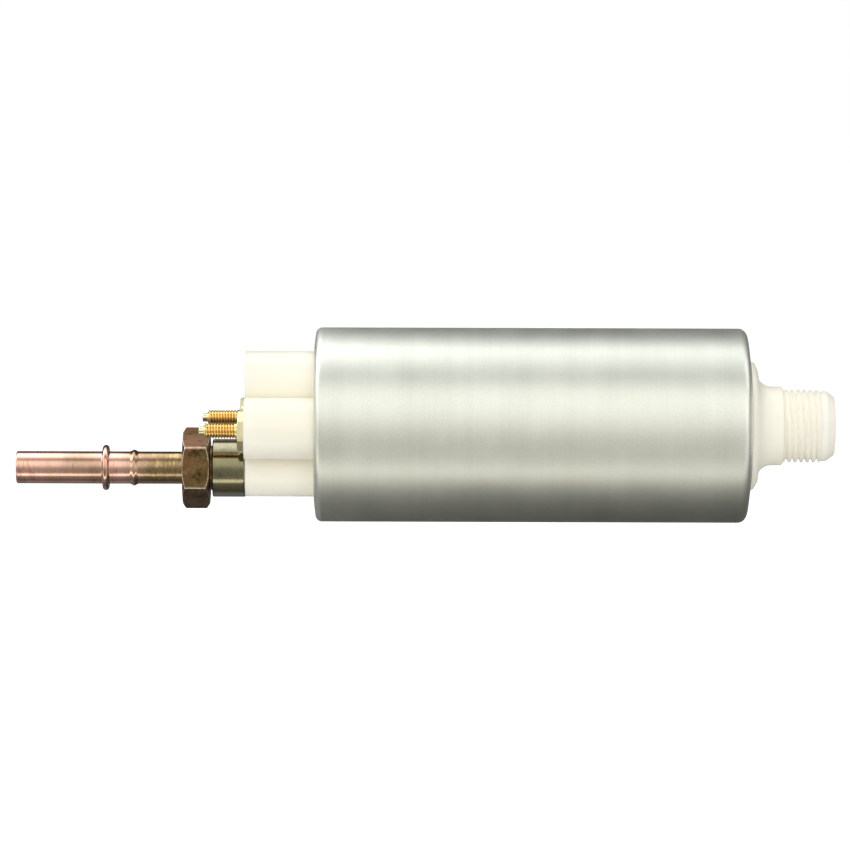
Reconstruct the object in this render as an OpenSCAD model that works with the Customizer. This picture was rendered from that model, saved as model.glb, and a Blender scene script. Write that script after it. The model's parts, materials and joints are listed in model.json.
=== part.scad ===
// Electric fuel lift pump: a rolled can that holds a brush motor and a gerotor pump.
// X runs along the pump from the outlet (-X) to the inlet (+X), and the origin is the can's centre.

/* [Can] */
// Outer diameter of the steel can
can_d = 48; // [47:0.5:56]
// Length of the can over its two rolled lips
can_len = 107.5; // [100:0.5:125]
// Thickness of the can's wall
can_wall = 1.5; // [1:0.1:1.8]
// Outer radius of the roll at the outlet end
outlet_roll = 1.6; // [1:0.1:2.4]
// Outer radius of the roll at the inlet end
inlet_roll = 2.2; // [1:0.1:2.6]
// How far the outlet lip stands out from the roll
outlet_lip_rise = 0.35; // [0.1:0.05:0.8]
// How far the inlet lip stands out from the roll
inlet_lip_rise = 0.8; // [0.1:0.05:1]
// Diameter of the opening in the outlet lip
outlet_lip_d = 39; // [38:0.5:41]
// Diameter of the opening in the inlet lip
inlet_lip_d = 32; // [29:0.5:38]

/* [Outlet cover] */
// Distance from the outlet lip to the end face of the pillars
pillar_len = 17; // [15:0.5:22]
// Thickness of the cover's disc under the lip
outlet_flange_t = 6.25; // [5.5:0.25:8]
// Depth of the disc's face below the lip
outlet_face_depth = 0.75; // [0.25:0.25:1]
// Diameter of the upper pillar
top_pillar_d = 14.8; // [12:0.2:16]
// Height of the upper pillar's axis over the pump's axis
top_pillar_z = 10.85; // [9:0.05:11]
// Diameter of the two side pillars
side_pillar_d = 15; // [14.8:0.2:15.8]
// Height of the side pillars' axes over the terminals
side_pillar_z = 0.6; // [0:0.1:1]
// Diameter of the outlet pillar
outlet_pillar_d = 14.1; // [13.6:0.1:15]
// Diameter of the core that joins the pillars
pillar_core_d = 17; // [16.5:0.1:17.1]
// Wall left at the end of the hollow upper pillar
pillar_end_wall = 2.4; // [1.5:0.1:4]
// Wall round the hollow upper pillar
pillar_side_wall = 1.8; // [1.2:0.1:3]

/* [Outlet fitting] */
// Depth of the outlet's axis under the pump's axis
outlet_axis_drop = 10.95; // [10:0.05:11]
// Width of the hexagon across its corners
hex_w = 20.2; // [18:0.2:22]
// Length of the hexagon
hex_len = 6.6; // [5:0.1:10]
// Length of the chamfer on each end of the hexagon
hex_chamfer = 0.85; // [0.4:0.05:1.2]
// Turn of the hexagons about their own axes, in degrees
hex_turn = -8.6; // [-30:0.1:30]
// Diameter of the neck behind the hexagon
neck_d = 10.9; // [10.2:0.1:13]
// Length of the neck behind the hexagon
neck_len = 0.7; // [0.4:0.1:2]
// Outer diameter of the collar
collar_d = 14.3; // [13.5:0.1:16]
// Length of the collar
collar_len = 8.1; // [6:0.1:12]
// Diameter of the fitting's threaded shank
shank_d = 9.9; // [9:0.1:10.2]
// Length of the shank inside the outlet pillar
shank_grip = 8.8; // [7:0.1:9]
// Bore through the fitting
fitting_bore_d = 5.2; // [4:0.1:5.6]

/* [Outlet tube] */
// Outer diameter of the tube
tube_d = 8; // [7.5:0.02:8.8]
// Thickness of the tube's wall
tube_wall = 1.05; // [0.7:0.05:1.3]
// Length of the tube outside the hexagon
tube_len = 41.2; // [35:0.1:50]
// Depth of the tube in the fitting
tube_grip = 4; // [2.5:0.1:5.5]
// Distance from the tube's end to the bead's middle
bead_x = 22.1; // [18:0.1:26]
// Diameter over the bead
bead_d = 11.2; // [10:0.02:12.4]
// Width of the bead
bead_w = 1.6; // [1.2:0.1:2]
// Distance from the bead's middle to the ridge's middle
ridge_x = 7; // [4:0.1:10]
// Diameter over the ridge
ridge_d = 8.9; // [8.5:0.02:9.5]
// Radius of the ridge's rounded section
ridge_round = 1.4; // [1.1:0.1:1.6]

/* [Terminals] */
// Distance between the two studs
stud_pitch = 22; // [21.4:0.1:22.4]
// Diameter of the studs
stud_d = 3.9; // [3.5:0.1:4]
// Length of a stud from the pillar's face to its tip
stud_len = 11.1; // [9:0.1:14]
// Width of the stud's flange across its corners
flange_w = 10; // [8.5:0.1:11]
// Thickness of the stud's flange
flange_t = 1.7; // [1:0.1:2.5]
// Diameter of the dog point
dog_d = 2.1; // [1.6:0.1:2.6]
// Length of the dog point
dog_len = 1.2; // [0.6:0.1:2]
// Length of the stud's shank inside the pillar
stud_grip = 8; // [6:0.1:8.6]

/* [Inlet cover] */
// Thickness of the inlet cover inside the can
inlet_flange_t = 12.25; // [11:0.25:13]
// Distance that the plate stands out of the inlet lip
plate_out = 1.75; // [1:0.05:4]
// Diameter of the plate's outer face
plate_face_d = 28; // [27:0.2:31]
// Length of the chamfer round the plate's face
plate_edge = 0.8; // [0.4:0.1:1.2]
// Diameter of the neck
nose_neck_d = 19.5; // [18.2:0.1:20.4]
// Length of the neck from the plate to the thread
nose_neck_len = 6.4; // [4:0.1:9]
// Radius of the fillet between plate and neck
nose_fillet = 3.5; // [1:0.1:4]
// Diameter over the crests of the thread
thread_d = 18; // [17:0.1:18.4]
// Pitch of the thread
thread_pitch = 1.5; // [1.4:0.05:1.8]
// Depth of the thread
thread_depth = 0.75; // [0.4:0.05:0.9]
// Number of thread grooves
thread_turns = 6; // [4:1:8]
// Diameter of the plain lead in front of the thread
lead_d = 17.4; // [16:0.1:17.8]
// Length of the plain lead
lead_len = 3.6; // [2.6:0.1:6]
// Chamfer on the end of the lead
lead_chamfer = 2; // [0.5:0.1:2.4]
// Bore of the inlet nose
inlet_bore_d = 11.2; // [9:0.1:12]
// Diameter of the chamber behind the inlet nose
chamber_d = 34; // [30:0.5:36]
// Depth of the chamber behind the inlet nose
chamber_depth = 6; // [4:0.25:7]

/* [Motor] */
// Thickness of the arc magnets
magnet_t = 6.3; // [5.5:0.1:6.6]
// Length of the arc magnets past each end of the laminations
magnet_over = 4; // [1:0.25:4.5]
// Angle that each magnet spans, in degrees
magnet_span = 118; // [100:2:124]
// Thickness of the spring clips between the magnets
clip_t = 0.7; // [0.5:0.05:1]
// Gap between the magnets and the armature
air_gap = 0.5; // [0.4:0.05:0.8]
// Number of slots in the laminations
slots = 8; // [6:1:8]
// Diameter of the rounded slot bottoms
slot_bottom_d = 6; // [5:0.1:6.2]
// Width of the slot openings
slot_mouth = 1.8; // [1.4:0.1:2.4]
// Length of the windings past each end of the stack
end_turn_len = 6; // [4:0.25:6]
// Diameter of the armature's shaft
shaft_d = 5; // [4:0.1:5.6]
// Length of the bearing bushes' outlet one
outlet_bush_len = 7.9; // [6:0.1:8]
// Wall of the bearing bushes
bush_wall = 1.47; // [1.2:0.01:1.7]
// Diameter of the commutator
commutator_d = 26; // [24:0.5:27]
// Thickness of the commutator's segments
segment_t = 3; // [2:0.1:3.4]
// Length of the commutator's hub in front of the segments
commutator_hub_len = 4.7; // [3:0.1:8]
// Width of the slots between segments
segment_gap = 0.8; // [0.5:0.1:1.2]

/* [Brushes] */
// Distance of the brushes from the pump's axis
brush_distance = 9; // [8.8:0.05:9.1]
// Radial width of a brush
brush_width = 5; // [4:0.1:5]
// Width of a brush across the radius
brush_height = 6; // [4:0.1:6.4]
// Length of a brush
brush_len = 9; // [7:0.25:10]
// Wall of the brush boxes
box_wall = 1; // [0.8:0.1:1.2]
// Length of the room behind a brush for its spring
spring_room = 13.2; // [12:0.1:13.4]
// Length of a brush that stands out of its box
brush_out = 2.4; // [1.5:0.1:3.5]
// Wire diameter of the brush springs
brush_wire_d = 0.6; // [0.4:0.05:0.7]
// Mean diameter of the brush springs
brush_coil_d = 3.4; // [2.6:0.1:3.6]
// Turns of a brush spring
brush_turns = 8; // [5:1:9]
// Diameter of the brush leads
lead_wire_d = 0.9; // [0.6:0.05:1]
// Distance of the chokes from the pump's axis
choke_distance = 15; // [14.9:0.05:15.2]
// Outer diameter of the chokes' windings
choke_d = 4.8; // [4:0.1:4.8]
// Wire diameter of the chokes' windings
choke_wire = 1; // [0.8:0.05:1.2]
// Turns of a choke
choke_turns = 10; // [6:1:11]

/* [Pump] */
// Width of the pump's rotors
rotor_w = 10; // [8:0.25:10]
// Thickness of the two port plates
port_plate_t = 5; // [4:0.25:5]
// Teeth of the inner rotor
inner_teeth = 6; // [5:1:7]
// Offset between the two rotors' axes
rotor_offset = 1.1; // [0.9:0.05:1.1]
// Diameter of the circle of the outer rotor's lobes
lobe_circle_d = 21; // [20.6:0.1:21.4]
// Diameter of the outer rotor's lobes
lobe_d = 6.4; // [6:0.1:6.8]
// Diameter of the outer rotor
outer_rotor_d = 26; // [25.6:0.1:27]
// Clearance between the teeth of the two rotors
tooth_gap = 0.08; // [0.06:0.01:0.12]
// Width of the drive flats on the shaft
drive_flats = 4; // [3.6:0.1:4.2]
// Diameter of the dowel pins
dowel_d = 3; // [2:0.1:3.6]
// Distance of the dowel pins from the pump's axis
dowel_y = 18.6; // [18:0.1:19]

/* [Valves] */
// Bore of the check valve's seat
check_bore_d = 4.8; // [4:0.1:5]
// Diameter of the check valve's head
check_valve_d = 6.8; // [6.2:0.1:7.2]
// Lift of the check valve
check_lift = 2; // [1:0.1:2.4]
// Diameter of the passage behind the check valve
passage_d = 5.6; // [5.2:0.1:6]
// Diameter of the check valve's chamber
check_chamber_d = 8.4; // [8:0.1:8.8]
// Distance of the relief valve under the pump's axis
relief_drop = 17.6; // [17.2:0.1:18]
// Diameter of the relief ball
relief_ball_d = 4.4; // [4:0.1:4.8]
// Bore of the relief valve's seat
relief_seat_d = 2.8; // [2.4:0.1:3]
// Lift of the relief ball
relief_lift = 1.5; // [0.5:0.1:2]

/* [Fits] */
// Gap between pieces that are seated in each other
seat_gap = 0.05; // [0.02:0.01:0.08]
// Radial gap of the running fits
run_gap = 0.03; // [0.02:0.005:0.06]
// Gap between sliding pieces and their guides
slide_gap = 0.1; // [0.05:0.01:0.15]
// Diameter of the O-rings' cord
o_ring_d = 1.9; // [1.5:0.05:2.2]

/* [Hidden] */
round_fn = 96;

// The near side faces -Y and the far side +Y
NEAR = -1;
FAR = 1;

// Can and covers. The cross sizes above suit the standard bore, and fit lets them follow another bore
can_r = can_d / 2;
bore_r = can_r - can_wall;
seat_r = bore_r - seat_gap;
outlet_x = -can_len / 2;
inlet_x = can_len / 2;
standard_bore_r = 22.5;
fit = bore_r / standard_bore_r;
outlet_lip_r = fit * outlet_lip_d / 2;
inlet_lip_r = fit * inlet_lip_d / 2;
lip_edge = 0.3;
disc_x = outlet_x + can_wall + outlet_flange_t;
disc_face_x = outlet_x + outlet_face_depth;
pillar_x = outlet_x - pillar_len;
groove_w = o_ring_d + 0.5;
groove_r = bore_r - o_ring_d;
outlet_groove_x = disc_x - groove_w - 1.5;
rim_chamfer = 0.6;

// Outlet fitting and tube
outlet_drop = fit * outlet_axis_drop;
collar_x = pillar_x - collar_len;
neck_x = collar_x - neck_len;
hex_x = neck_x - hex_len;
tube_x = hex_x - tube_len;
tube_r = tube_d / 2;
shank_r = fit * shank_d / 2;
shank_x = pillar_x + shank_grip;
seal_t = 0.9;
seal_r = fit * outlet_pillar_d / 2 - 0.7;

// Terminals and chokes
stud_y = fit * stud_pitch / 2;
stud_r = fit * stud_d / 2;
stud_x = pillar_x - stud_len;
shank_end_x = pillar_x + stud_grip;
terminal_pocket_r = stud_r + 0.65;
choke_y = fit * choke_distance;
choke_r = fit * choke_d / 2;
choke_wire_d = fit * choke_wire;
choke_lead_grip = 2.4;
choke_pocket_r = choke_r + 0.3;
choke_x = shank_end_x + 1.8;
choke_pocket_x = pillar_x + 4.8;
choke_len = choke_turns * choke_wire_d * 1.08 + 1.4;
choke_core_r = choke_r - choke_wire_d * 0.9;
choke_lead_r = choke_core_r * 0.3;
choke_lead_y = choke_y - choke_core_r;

// Pump stack, from the inlet cover back towards the motor
pump_end_x = inlet_x - can_wall - inlet_flange_t;
inlet_plate_x = pump_end_x - port_plate_t;
ring_x = inlet_plate_x - rotor_w;
outlet_plate_x = ring_x - port_plate_t;
shaft_end_x = inlet_plate_x - 0.2;
outer_teeth = inner_teeth + 1;
offset = fit * rotor_offset;
lobe_circle_r = fit * lobe_circle_d / 2;
lobe_r = fit * lobe_d / 2;
outer_rotor_r = fit * outer_rotor_d / 2;
cavity_r = lobe_circle_r - 1;
rotor_gap = 0.05;

// Armature: its stack fills the room between the two bearings
shaft_r = fit * shaft_d / 2;
shaft_hole_r = shaft_r + 0.02;
bush_bore_r = shaft_r + run_gap;
bush_r = bush_bore_r + bush_wall;
washer_t = 1;
washer_r = bush_r + 0.6;
shoulder_r = bush_r;
washer_inlet_x = outlet_plate_x - run_gap - washer_t;
shoulder_len = 2.5;
shoulder_x = washer_inlet_x - run_gap - shoulder_len;
bush_outlet_end_x = disc_x + outlet_bush_len - 0.4;
washer_outlet_x = bush_outlet_end_x + run_gap;
hub_r = shaft_r + 2.5;
hub_x = washer_outlet_x + washer_t + run_gap;
segment_x = hub_x + commutator_hub_len;
commutator_base_t = 3;
windings_x = segment_x + segment_t + commutator_base_t + 0.9;
windings_end_x = shoulder_x - 0.3;
stack_x = windings_x + end_turn_len;
stack_len = windings_end_x - end_turn_len - stack_x;
magnet_in_r = seat_r - fit * magnet_t;
core_r = magnet_in_r - air_gap;
slot_d = fit * slot_bottom_d;
slot_circle_r = core_r - slot_d / 2 - 1.4;
commutator_r = fit * commutator_d / 2;
segment_bore_r = hub_r + 0.6;
magnet_x = stack_x - magnet_over;
magnet_len = stack_len + 2 * magnet_over;

// Brushes
brush_y = fit * brush_distance;
brush_w = fit * brush_width;
brush_h = fit * brush_height;
brush_face_x = segment_x - 0.1;
brush_back_x = brush_face_x - brush_len;
box_end_x = brush_face_x - brush_out;
spring_play = 0.1;
spring_floor_x = brush_back_x - spring_room;
channel_w = 1.6;
channel_x = spring_floor_x - channel_w;

// Check valve and relief valve
chamber_floor_x = shank_x + 8;
check_seat_t = 2;
check_seat_x = chamber_floor_x - check_seat_t;
check_head_d = fit * check_valve_d;
check_head_t = 1.2;
check_head_x = check_seat_x - seat_gap - check_head_t;
check_wire_d = 0.6;
check_coil_d = check_head_d - 1.2;
relief_z = fit * relief_drop;
relief_ball_r = fit * relief_ball_d / 2;
relief_bore_r = relief_ball_r + 0.25;
relief_seat_r = fit * relief_seat_d / 2;
relief_x = ring_x + sqrt(pow(relief_ball_r, 2) - pow(relief_seat_r, 2)) + seat_gap;
relief_wire_d = 0.5;
relief_coil_d = 3;
relief_spring_x = relief_x + sqrt(pow(relief_ball_r, 2) - pow(relief_coil_d / 2, 2)) + spring_play;

// Inlet nose
plate_x = inlet_x + plate_out;
thread_x = plate_x + nose_neck_len;
plate_face_r = fit * plate_face_d / 2;
thread_r = thread_d / 2;
thread_len = thread_turns * thread_pitch;
lead_x = thread_x + thread_len;
nose_x = lead_x + lead_len;
lead_r = lead_d / 2;
inlet_bore_r = inlet_bore_d / 2;

// Points [x, y] along an arc
function arc(cx, cy, r, from, to, steps = 8) = [
    for (i = [0 : steps]) let (a = from + (to - from) * i / steps)
        [cx + r * cos(a), cy + r * sin(a)]
];

// Height of a lip's slope at a radius: nothing at the opening, the whole rise at the can's bore
function lip_slope(r, lip_r, rise) = rise * (r - lip_r) / (bore_r - lip_r);

// A body turned about the X axis from a half section of [radius, x] points
module turned(points) {
    rotate([0, 90, 0]) rotate_extrude($fn = round_fn) polygon(points);
}

// A slab along X whose outline is drawn in Y and Z
module slab(x, len) {
    translate([x, 0, 0]) rotate([90, 0, 90]) linear_extrude(len) children();
}

// A round rod along X
module rod(x, len, r) {
    translate([x, 0, 0]) rotate([0, 90, 0]) cylinder(h = len, r = r, $fn = round_fn);
}

// A ring along X
module ring(x, len, r_out, r_in) {
    slab(x, len) difference() {
        circle(r_out, $fn = round_fn);
        circle(r_in, $fn = round_fn);
    }
}

// A ring of round section about the X axis
module o_ring(x, ring_r, cord_r) {
    translate([x, 0, 0]) rotate([0, 90, 0])
        rotate_extrude($fn = round_fn) translate([ring_r, 0]) circle(cord_r, $fn = 24);
}

// A box along X, centred on Y and Z
module bar(x, len, w, h) {
    translate([x, -w / 2, -h / 2]) cube([len, w, h]);
}

// A hexagonal slab with corners on the Z axis before its turn
module hexagon(x, len, corners) {
    translate([x, 0, 0]) rotate([hex_turn, 0, 0]) rotate([0, 90, 0])
        cylinder(h = len, d = corners, $fn = 6);
}

// The wedge of a plane about the +Y direction that spans an angle
module wedge(span, reach = 40) {
    polygon(concat([[0, 0]], arc(0, 0, reach, -span / 2, span / 2, 6)));
}

// A wire coil along X as one swept tube of sides facets
module coil(x, len, mean_r, wire_r, turns, steps = 12, sides = 6) {
    rings = turns * steps;
    travel = len - 2 * wire_r;
    points = [
        for (i = [0 : rings]) for (k = [0 : sides - 1])
            let (t = 360 * i / steps, a = 360 * k / sides, r = mean_r + wire_r * cos(a))
                [x + wire_r + travel * i / rings + wire_r * sin(a), r * cos(t), r * sin(t)]
    ];
    walls = [
        for (i = [0 : rings - 1]) for (k = [0 : sides - 1])
            let (a = i * sides + k, b = i * sides + (k + 1) % sides)
                each [[a, b, b + sides], [a, b + sides, a + sides]]
    ];
    ends = [
        [for (k = [sides - 1 : -1 : 0]) k],
        [for (k = [0 : sides - 1]) rings * sides + k]
    ];
    polyhedron(points = points, faces = concat(walls, ends));
}

module can() {
    color("#c9cdc6") turned(concat(
        arc(can_r - outlet_roll, outlet_x + outlet_lip_rise + outlet_roll, outlet_roll, 0, -90),
        [
            [outlet_lip_r + lip_edge, outlet_x],
            [outlet_lip_r, outlet_x + lip_edge],
            [outlet_lip_r, outlet_x + can_wall],
            [bore_r, outlet_x + can_wall + outlet_lip_rise],
            [bore_r, inlet_x - can_wall - inlet_lip_rise],
            [inlet_lip_r, inlet_x - can_wall],
            [inlet_lip_r, inlet_x - lip_edge],
            [inlet_lip_r + lip_edge, inlet_x]
        ],
        arc(can_r - inlet_roll, inlet_x - inlet_lip_rise - inlet_roll, inlet_roll, 90, 0)
    ));
}

// The four pillars and their core, seen along the pump
module pillar_outline() {
    circle(d = fit * pillar_core_d, $fn = round_fn);
    translate([0, fit * top_pillar_z]) circle(d = fit * top_pillar_d, $fn = round_fn);
    translate([0, -outlet_drop]) circle(d = fit * outlet_pillar_d, $fn = round_fn);
    for (side = [NEAR, FAR])
        translate([side * stud_y, fit * side_pillar_z]) circle(d = fit * side_pillar_d, $fn = round_fn);
}

// The disc that the can's outlet lip is rolled over, with its seal groove
module outlet_disc() {
    rim_r = seat_r - rim_chamfer;
    lip_x = outlet_x + can_wall + seat_gap;
    rim_x = lip_x + lip_slope(rim_r, outlet_lip_r, outlet_lip_rise);
    turned([
        [0, disc_x],
        [seat_r, disc_x],
        [seat_r, outlet_groove_x + groove_w],
        [groove_r, outlet_groove_x + groove_w],
        [groove_r, outlet_groove_x],
        [seat_r, outlet_groove_x],
        [seat_r, rim_x + rim_chamfer],
        [rim_r, rim_x],
        [outlet_lip_r - seat_gap, lip_x],
        [outlet_lip_r - seat_gap, disc_face_x],
        [0, disc_face_x]
    ]);
}

// Bore and cavities of one side pillar: stud hole, choke pocket, brush bore and lead channel
module side_pillar_cuts(side) {
    brush_bore_w = brush_w + 2 * slide_gap;
    brush_bore_h = brush_h + 2 * slide_gap;
    translate([0, side * stud_y, 0]) rod(pillar_x - 1, stud_grip, stud_r + seat_gap);
    translate([0, side * stud_y, 0]) rod(choke_pocket_x, shank_end_x - choke_pocket_x + 0.6, terminal_pocket_r);
    translate([0, side * choke_y, 0]) rod(choke_pocket_x, disc_x - choke_pocket_x + 1, choke_pocket_r);
    translate([0, side * brush_y, 0])
        bar(spring_floor_x, box_end_x - spring_floor_x + 1, brush_bore_w, brush_bore_h);
    translate([0, side * (brush_y + choke_y) / 2, 0])
        bar(channel_x, channel_w, choke_y - brush_y + channel_w, channel_w);
}

module outlet_cover() {
    box_w = brush_w + 2 * slide_gap + 2 * box_wall;
    box_h = brush_h + 2 * slide_gap + 2 * box_wall;
    color("#fbf7e6") difference() {
        union() {
            outlet_disc();
            slab(pillar_x, disc_face_x - pillar_x + 1) pillar_outline();
            rod(disc_x - 1, bush_outlet_end_x - disc_x + 1, bush_r + 2.2);
            for (side = [NEAR, FAR])
                translate([0, side * brush_y, 0]) bar(disc_x - 1, box_end_x - disc_x + 1, box_w, box_h);
        }
        for (side = [NEAR, FAR]) side_pillar_cuts(side);
        rod(bush_outlet_end_x - outlet_bush_len - 0.1, outlet_bush_len + 1, bush_r + seat_gap);
        translate([0, 0, -outlet_drop]) {
            rod(pillar_x - 1, shank_grip + 1.1, shank_r + seat_gap);
            rod(pillar_x - 1, seal_t + 1, seal_r + seat_gap);
            rod(shank_x, chamber_floor_x - shank_x, fit * check_chamber_d / 2);
            rod(chamber_floor_x - 1, disc_x - chamber_floor_x + 2, fit * passage_d / 2);
        }
        translate([0, 0, fit * top_pillar_z])
            rod(pillar_x + pillar_end_wall, disc_x - pillar_x, fit * top_pillar_d / 2 - pillar_side_wall);
    }
}

module outlet_cover_seal() {
    color("#2a2a2a")
        o_ring(outlet_groove_x + groove_w / 2, bore_r - o_ring_d / 2, o_ring_d / 2 - 0.02);
}

module inlet_cover_seal() {
    color("#2a2a2a")
        o_ring(inlet_x - can_wall - inlet_lip_rise - groove_w / 2 - 2, bore_r - o_ring_d / 2, o_ring_d / 2 - 0.02);
}

// Half section of the threaded nose: crests of full diameter with a rounded V groove between them
function thread_points() = [
    for (i = [0 : thread_turns - 1]) let (x = thread_x + (i + 0.35) * thread_pitch)
        each [
            [thread_r, x - thread_pitch * 0.34],
            [thread_r - thread_depth, x - thread_pitch * 0.05],
            [thread_r - thread_depth, x + thread_pitch * 0.05],
            [thread_r, x + thread_pitch * 0.34]
        ]
];

module inlet_cover() {
    rim_r = seat_r - rim_chamfer;
    lip_x = inlet_x - can_wall - seat_gap;
    rim_x = lip_x - lip_slope(rim_r, inlet_lip_r, inlet_lip_rise);
    groove_x = inlet_x - can_wall - inlet_lip_rise - groove_w - 2;
    plate_r = inlet_lip_r - seat_gap;
    neck_r = nose_neck_d / 2;
    fillet = min(nose_fillet, plate_face_r - neck_r - 0.3);
    color("#fbf7e6") turned(concat(
        [
            [fit * chamber_d / 2, pump_end_x],
            [seat_r, pump_end_x],
            [seat_r, groove_x],
            [groove_r, groove_x],
            [groove_r, groove_x + groove_w],
            [seat_r, groove_x + groove_w],
            [seat_r, rim_x - rim_chamfer],
            [rim_r, rim_x],
            [plate_r, lip_x],
            [plate_r, inlet_x],
            [plate_r - 0.3, plate_x - plate_edge],
            [plate_face_r, plate_x]
        ],
        arc(neck_r + fillet, plate_x + fillet, fillet, -90, -180),
        [[neck_r, thread_x - 0.3], [thread_r, thread_x]],
        thread_points(),
        [
            [thread_r, lead_x - 0.05],
            [lead_r, lead_x],
            [lead_r, nose_x - lead_chamfer],
            [lead_r - lead_chamfer * 0.75, nose_x],
            [inlet_bore_r, nose_x],
            [inlet_bore_r, pump_end_x + chamber_depth + 2],
            [fit * chamber_d / 2, pump_end_x + chamber_depth - 2]
        ]
    ));
}

module outlet_tube() {
    color("#d9b088") translate([0, 0, -outlet_drop]) difference() {
        union() {
            turned([
                [0, tube_x],
                [tube_r - 0.3, tube_x],
                [tube_r, tube_x + 0.3],
                [tube_r, hex_x + tube_grip],
                [0, hex_x + tube_grip]
            ]);
            o_ring(tube_x + bead_x, bead_d / 2 - bead_w / 2, bead_w / 2);
            ring(tube_x + bead_x - bead_w / 2, bead_w, bead_d / 2 - bead_w / 2, tube_r - 0.4);
            o_ring(tube_x + bead_x + ridge_x, ridge_d / 2 - ridge_round, ridge_round);
        }
        rod(tube_x - 1, tube_len + tube_grip + 2, tube_r - tube_wall);
    }
}

module outlet_fitting() {
    flat_r = hex_w / 2;
    color("#7d6542") translate([0, 0, -outlet_drop]) difference() {
        union() {
            intersection() {
                hexagon(hex_x, hex_len, hex_w);
                turned([
                    [0, hex_x],
                    [flat_r - 1.2, hex_x],
                    [flat_r + 0.1, hex_x + hex_chamfer],
                    [flat_r + 0.1, neck_x - hex_chamfer],
                    [flat_r - 1.2, neck_x],
                    [0, neck_x]
                ]);
            }
            rod(neck_x - 0.5, neck_len + 0.5, neck_d / 2);
            rod(neck_x, shank_x - neck_x, shank_r);
        }
        rod(hex_x - 1, shank_x - hex_x + 2, fit * fitting_bore_d / 2);
        rod(hex_x - 1, tube_grip + 1, tube_r + seat_gap);
    }
}

module outlet_collar() {
    color("#8c8650") translate([0, 0, -outlet_drop])
        ring(collar_x, collar_len, collar_d / 2, shank_r + seat_gap);
}

module outlet_seal() {
    color("#2a2a2a") translate([0, 0, -outlet_drop])
        ring(pillar_x, seal_t, seal_r, shank_r + seat_gap);
}

// One terminal: dog point, stud, hexagonal flange on the pillar's face and the shank inside
module terminal(side) {
    color("#d6a650") translate([0, side * stud_y, 0]) {
        turned([
            [0, stud_x],
            [dog_d / 2 - 0.2, stud_x],
            [dog_d / 2, stud_x + 0.2],
            [dog_d / 2, stud_x + dog_len],
            [stud_r, stud_x + dog_len + 0.5],
            [stud_r, shank_end_x],
            [0, shank_end_x]
        ]);
        difference() {
            hexagon(pillar_x - flange_t, flange_t, flange_w);
            rod(pillar_x - flange_t - 1, flange_t + 2, stud_r - 0.5);
        }
    }
}

module terminal_near() { terminal(NEAR); }
module terminal_far() { terminal(FAR); }

// One choke: ferrite rod with close turns of wire, and a lead along the terminal's shank
module choke(side) {
    color("#9a5a2c") {
        translate([0, side * choke_y, 0]) {
            rod(choke_x, choke_len, choke_core_r);
            for (i = [0 : choke_turns - 1])
                o_ring(choke_x + 0.7 + choke_wire_d * (0.54 + 1.08 * i), choke_r - choke_wire_d / 2, choke_wire_d / 2);
        }
        translate([0, side * choke_lead_y, 0])
            rod(shank_end_x - choke_lead_grip, choke_x + 0.5 - shank_end_x + choke_lead_grip, choke_lead_r);
    }
}

module choke_near() { choke(NEAR); }
module choke_far() { choke(FAR); }

module brush(side) {
    color("#4a4a4c") translate([0, side * brush_y, 0]) bar(brush_back_x, brush_len, brush_w, brush_h);
}

module brush_near() { brush(NEAR); }
module brush_far() { brush(FAR); }

module brush_spring(side) {
    spring_x = spring_floor_x + spring_play;
    color("#b8bcc0") translate([0, side * brush_y, 0])
        coil(spring_x, brush_back_x - spring_play - spring_x, fit * brush_coil_d / 2, brush_wire_d / 2, brush_turns);
}

module brush_spring_near() { brush_spring(NEAR); }
module brush_spring_far() { brush_spring(FAR); }

// One brush lead: through the spring, then across the channel to the choke
module brush_lead(side) {
    lead_r = lead_wire_d / 2;
    cross_x = spring_floor_x - channel_w / 2;
    cross_len = choke_y - choke_r - seat_gap - brush_y;
    color("#b5713c") translate([0, side * brush_y, 0]) {
        rod(cross_x, brush_back_x - spring_play - cross_x, lead_r);
        translate([cross_x, 0, 0]) sphere(lead_r, $fn = 32);
        translate([cross_x, 0, 0]) rotate([-90 * side, 0, 0])
            cylinder(h = cross_len, r = lead_r, $fn = 32);
    }
}

module brush_lead_near() { brush_lead(NEAR); }
module brush_lead_far() { brush_lead(FAR); }

module magnet(side) {
    color("#3d3f42") rotate([side == FAR ? 0 : 180, 0, 0]) slab(magnet_x, magnet_len) intersection() {
        difference() {
            circle(seat_r, $fn = round_fn);
            circle(magnet_in_r, $fn = round_fn);
        }
        wedge(magnet_span);
    }
}

module magnet_near() { magnet(NEAR); }
module magnet_far() { magnet(FAR); }

// A spring clip in the gap between two magnets: a strip along the can with both edges folded in
module magnet_clip(side) {
    clip_span = 180 - magnet_span - 1.5;
    leg_turn = (clip_span / 2) - asin(clip_t / (2 * magnet_in_r)) - 0.4;
    color("#9aa0a4") rotate([side * 90, 0, 0]) slab(magnet_x + 3, magnet_len - 6) {
        intersection() {
            difference() {
                circle(seat_r, $fn = round_fn);
                circle(seat_r - clip_t, $fn = round_fn);
            }
            wedge(clip_span);
        }
        for (edge = [-1, 1])
            rotate(edge * leg_turn) translate([magnet_in_r + 1, -clip_t / 2])
                square([seat_r - magnet_in_r - 1.2, clip_t]);
    }
}

module magnet_clip_top() { magnet_clip(1); }
module magnet_clip_bottom() { magnet_clip(-1); }

module bearing_outlet() {
    color("#b98d4f") ring(bush_outlet_end_x - outlet_bush_len, outlet_bush_len, bush_r, bush_bore_r);
}

module bearing_inlet() {
    color("#b98d4f") ring(outlet_plate_x, port_plate_t, bush_r, bush_bore_r);
}

module thrust_washer_outlet() {
    color("#e8e2d0") ring(washer_outlet_x, washer_t, washer_r, shaft_hole_r);
}

module thrust_washer_inlet() {
    color("#e8e2d0") ring(washer_inlet_x, washer_t, washer_r, shaft_hole_r);
}

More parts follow.
